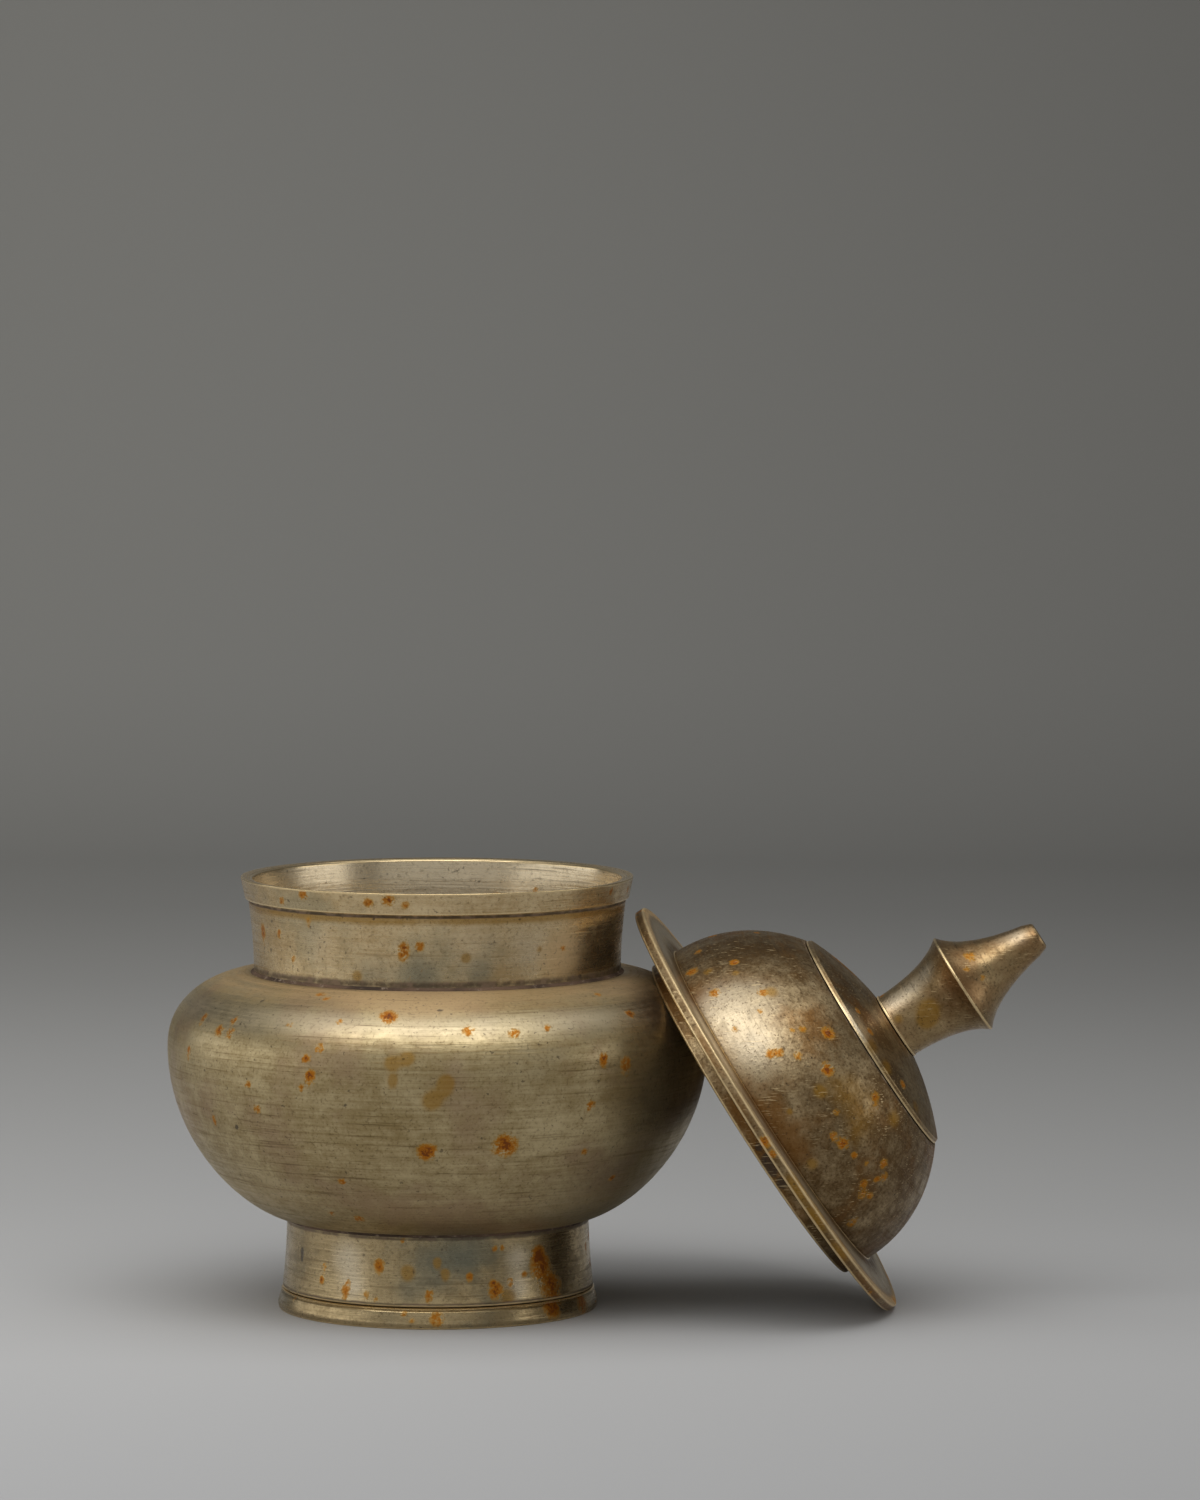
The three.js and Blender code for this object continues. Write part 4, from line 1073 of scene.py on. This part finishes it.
# %% Knob and washer
KNOB_HALF = 21.3
KNOB_ROOT = KNOB_FLAT + 0.3
KNOB_ARRIS = KNOB_ROOT + KNOB_HALF
ARRIS_EDGE = 0.4
KNOB_NECK = KNOB_ARRIS + ARRIS_EDGE + KNOB_HALF
KNOB_TIP = KNOB_NECK + 2.9
KNOB_ROOT_RADIUS, ARRIS_RADIUS = 9.4, 14.4
TENON_RADIUS, PEEN_RADIUS, PEEN_HEIGHT = 3.0, 4.4, 0.9
WASHER_TOP, WASHER_RADIUS, WASHER_WALL = KNOB_FLAT - 2.5, 7.0, 1.2
TENON_HEAD = WASHER_TOP - 1.5
TENON_END = TENON_HEAD - PEEN_HEIGHT
peened_end = [
    (TENON_RADIUS, TENON_END), (PEEN_RADIUS, TENON_HEAD - PEEN_HEIGHT / 2),
    (PEEN_RADIUS, TENON_HEAD), (TENON_RADIUS, TENON_HEAD),
]
stem_start = (9.1, KNOB_ROOT + 0.6)
cone_start = (ARRIS_RADIUS, KNOB_ARRIS + ARRIS_EDGE)
knob_parts = [
    ([(0.0, TENON_END)], 0.0),
    (peened_end, 0.15),
    ([(TENON_RADIUS, KNOB_ROOT)], 0.0),
    ([(KNOB_ROOT_RADIUS, KNOB_ROOT), (KNOB_ROOT_RADIUS, KNOB_ROOT + 0.6)], 0.12),
    (sweep(stem_start, (KNOB_ROOT_RADIUS, KNOB_ROOT + 15.5), (ARRIS_RADIUS, KNOB_ARRIS), 40), 0.0),
    (sweep(cone_start, (7.8, KNOB_ARRIS + 5.5), (4.75, KNOB_NECK), 40), 0.0),
    ([(3.9, KNOB_TIP - 0.5), (3.4, KNOB_TIP)], 0.2),
    ([(0.0, KNOB_TIP)], 0.0),
]
washer_corners = [
    (TENON_HOLE, WASHER_TOP - WASHER_WALL), (WASHER_RADIUS, WASHER_TOP - WASHER_WALL),
    (WASHER_RADIUS, WASHER_TOP), (TENON_HOLE, WASHER_TOP),
]
knob_rust = [(-37, 70.0, 1.6, 0.55, 0.0), (3, 70.0, 0.9, 0.5, 0.0), (-20, 67.5, 1.0, 0.5, 0.0)]
knob_marks = {
    "rust": np.vstack([knob_rust, far_stains(10, (44.0, 86.0), seed=20)]),
    "smear": [(0, 53.0, 3.2, 1.0, 0.0), (15, 51.0, 2.6, 0.9, 0.0), (-14, 45.0, 1.6, 0.7, 0.0)],
    # Painted highlight: the bare patches brighten the upper left of the stem and the cone.
    "bare": [
        (-47, 46.0, 4.0, 0.7, 0.0), (-47, 52.0, 4.0, 0.7, 0.0), (-52, 58.0, 3.5, 0.6, 0.0),
        (-50, 79.0, 4.0, 0.3, 0.0), (-44, 84.0, 3.5, 0.5, 0.0),
    ],
}
knob_rings = {"grime": [(KNOB_ROOT_RADIUS, KNOB_ROOT + 0.2, 0.3, 0.8)]}
turned_piece(
    "finial", "knob", "lid", "knob_bronze", knob_parts,
    sides=256, spacing=0.6, marks=knob_marks, rings=knob_rings, closed=False,
)
turned_piece(
    "washer", "knob_washer", "lid", "inner_brass", [(washer_corners, 0.15)],
    sides=96, spacing=0.5, marks={}, rings={},
)

# %% [markdown]
# ## Floor and backdrop
# The ground is one grey sheet that rises behind the object without an edge. Its colour carries painted
# light: it is paler near the viewer, paler still in front of the pot over its contact shade, and it gets
# darker and a little warmer towards the back and darker towards the right, a painted falloff of the light.
# The sheet is a profile along Y: flat, a quarter bend, then a wall. A ramp along its depth paints these
# tones and evens out the tone of the bend. A plain world colour could stand in for the backdrop, but it
# would catch no shadow, and the metal has to mirror a floor.

# %% Studio sheet
BEND_RADIUS, BEND_START = 0.5, 1.3
SHEET_FRONT, SHEET_MIDDLE, SHEET_TOP, SHEET_HALF = -3.0, -1.0, 3.0, 3.5
bend_angle = np.linspace(0.0, np.pi / 2, 24)
bend_y = BEND_START + BEND_RADIUS * np.sin(bend_angle)
sheet_y = np.concatenate([[SHEET_FRONT, SHEET_MIDDLE], bend_y, [BEND_START + BEND_RADIUS]])
sheet_z = np.concatenate([[0.0, 0.0], BEND_RADIUS * (1 - np.cos(bend_angle)), [SHEET_TOP]])
sheet_x = np.array([-SHEET_HALF, SHEET_HALF])
sheet_points = np.stack([
    np.repeat(sheet_x[None], len(sheet_y), axis=0),
    np.repeat(sheet_y[:, None], 2, axis=1),
    np.repeat(sheet_z[:, None], 2, axis=1),
], axis=-1).reshape(-1, 3)
row = 2 * np.arange(len(sheet_y) - 1)
sheet_faces = np.column_stack([row, row + 1, row + 3, row + 2])
sheet_mesh = bpy.data.meshes.new("studio_sheet")
sheet_mesh.from_pydata(sheet_points, [], sheet_faces.tolist())
sheet_mesh.shade_smooth()
studio_sheet = bpy.data.objects.new("studio_sheet", sheet_mesh)
bpy.context.scene.collection.objects.link(studio_sheet)
print("studio sheet:", len(sheet_faces), "faces")

# %% Tone of the sheet, with painted light and shade
NEAR_END, FAR_END = -0.3, 1.9
GREEN_LOSS, BLUE_LOSS = 0.6, 3.0
RIGHT_SHADE = 0.35
sheet = Finish("grey_sheet")
sheet_place = sheet.node("ShaderNodeTexCoord", {}, {}, "Object")
sheet_depth = sheet.node("ShaderNodeSeparateXYZ", {}, {"Vector": sheet_place}, "Y")
sheet_side = sheet.node("ShaderNodeSeparateXYZ", {}, {"Vector": sheet_place}, "X")
sheet_paper = sheet.noise(sheet_place, 900.0, 2.0)
# Painted light and shade: the tones fall towards the back, a painted falloff, and rise in front of the pot
# over its contact shade.
sheet_painted_light = [
    (NEAR_END, 188), (-0.1, 199), (0.0, 198), (0.19, 188), (0.36, 183), (0.56, 177),
    (0.8, 167), (1.09, 160), (1.4, 161), (1.55, 166), (FAR_END, 164),
]
sheet_reach = FAR_END - NEAR_END
sheet_stops = [
    ((depth - NEAR_END) / sheet_reach, shade(tone, tone - GREEN_LOSS * depth, tone - BLUE_LOSS * depth))
    for depth, tone in sheet_painted_light
]
sheet_share = (sheet_depth - NEAR_END) * (1 / sheet_reach)
sheet_colour = sheet.node("ShaderNodeValToRGB", {"stops": sheet_stops}, {"Fac": sheet_share}, "Color")
sheet_colour = sheet.mix(sheet_paper * 0.04, sheet_colour, shade(120, 120, 120))
# Painted shade: the sheet darkens towards the right.
sheet_colour = sheet.mix(sheet.rise(sheet_side, -0.45, 0.6) * RIGHT_SHADE, sheet_colour, (0.0, 0.0, 0.0))
sheet.plug(sheet.shader.inputs["Base Color"], sheet_colour)
sheet.plug(sheet.shader.inputs["Roughness"], 0.85)
sheet.plug(sheet.shader.inputs["Specular IOR Level"], 0.15)
sheet_mesh.materials.append(sheet.material)

# %% [markdown]
# ## Light
# Bronze shows its surroundings. A broad box overhead lights the floor and the shoulder, and a stronger one
# in front of it lays the bright band there. The foot, the neck and the inside of the mouth mirror a long
# pale card on the left, a shorter one on the right, a wide dim card behind the camera and a weak even room.
# Together they bring a white card to about white, so colours render as they are written. A surrounding
# picture could light it too, but lamps can be moved one by one until each bright band sits right.

# %% Soft boxes and room


def soft_box(name, place, aim, size, watts):
    """A rectangular lamp at a place, turned towards a point."""
    data = bpy.data.lights.new(name, "AREA")
    data.shape = "RECTANGLE"
    data.size, data.size_y = size
    data.energy = watts
    lamp = bpy.data.objects.new(name, data)
    back = np.array(place) - np.array(aim)
    across = np.cross((0.0, 0.0, 1.0), back)
    across = across / np.linalg.norm(across)
    back = back / np.linalg.norm(back)
    up = np.cross(back, across)
    turned = np.column_stack([across, up, back])
    lamp.matrix_world = Matrix.Translation(place) @ Matrix(turned.tolist()).to_4x4()
    bpy.context.scene.collection.objects.link(lamp)
    print(name, watts, "W")


soft_box("overhead_box", (-0.05, -0.15, 1.4), (-0.05, 0.0, 0.0), (2.2, 1.5), 8.0)
soft_box("front_box", (-0.25, -0.74, 1.25), (-0.25, 0.0, 0.08), (1.9, 0.85), 10.5)
soft_box("left_card", (-1.05, -0.2, 0.22), (-0.05, -0.2, 0.1), (1.55, 0.4), 1.6)
soft_box("right_card", (1.0, -0.14, 0.25), (-0.05, -0.1, 0.1), (0.75, 0.4), 0.85)
soft_box("room_card", (-0.1, -2.0, 0.45), (-0.1, 0.0, 0.1), (3.4, 0.8), 2.6)

world = bpy.data.worlds.new("studio_room")
bpy.context.scene.world = world
world.use_nodes = True
room = world.node_tree.nodes["Background"]
room.inputs["Color"].default_value = (1.0, 0.99, 0.96, 1.0)
room.inputs["Strength"].default_value = 0.22
bpy.context.scene.view_settings.view_transform = "Standard"
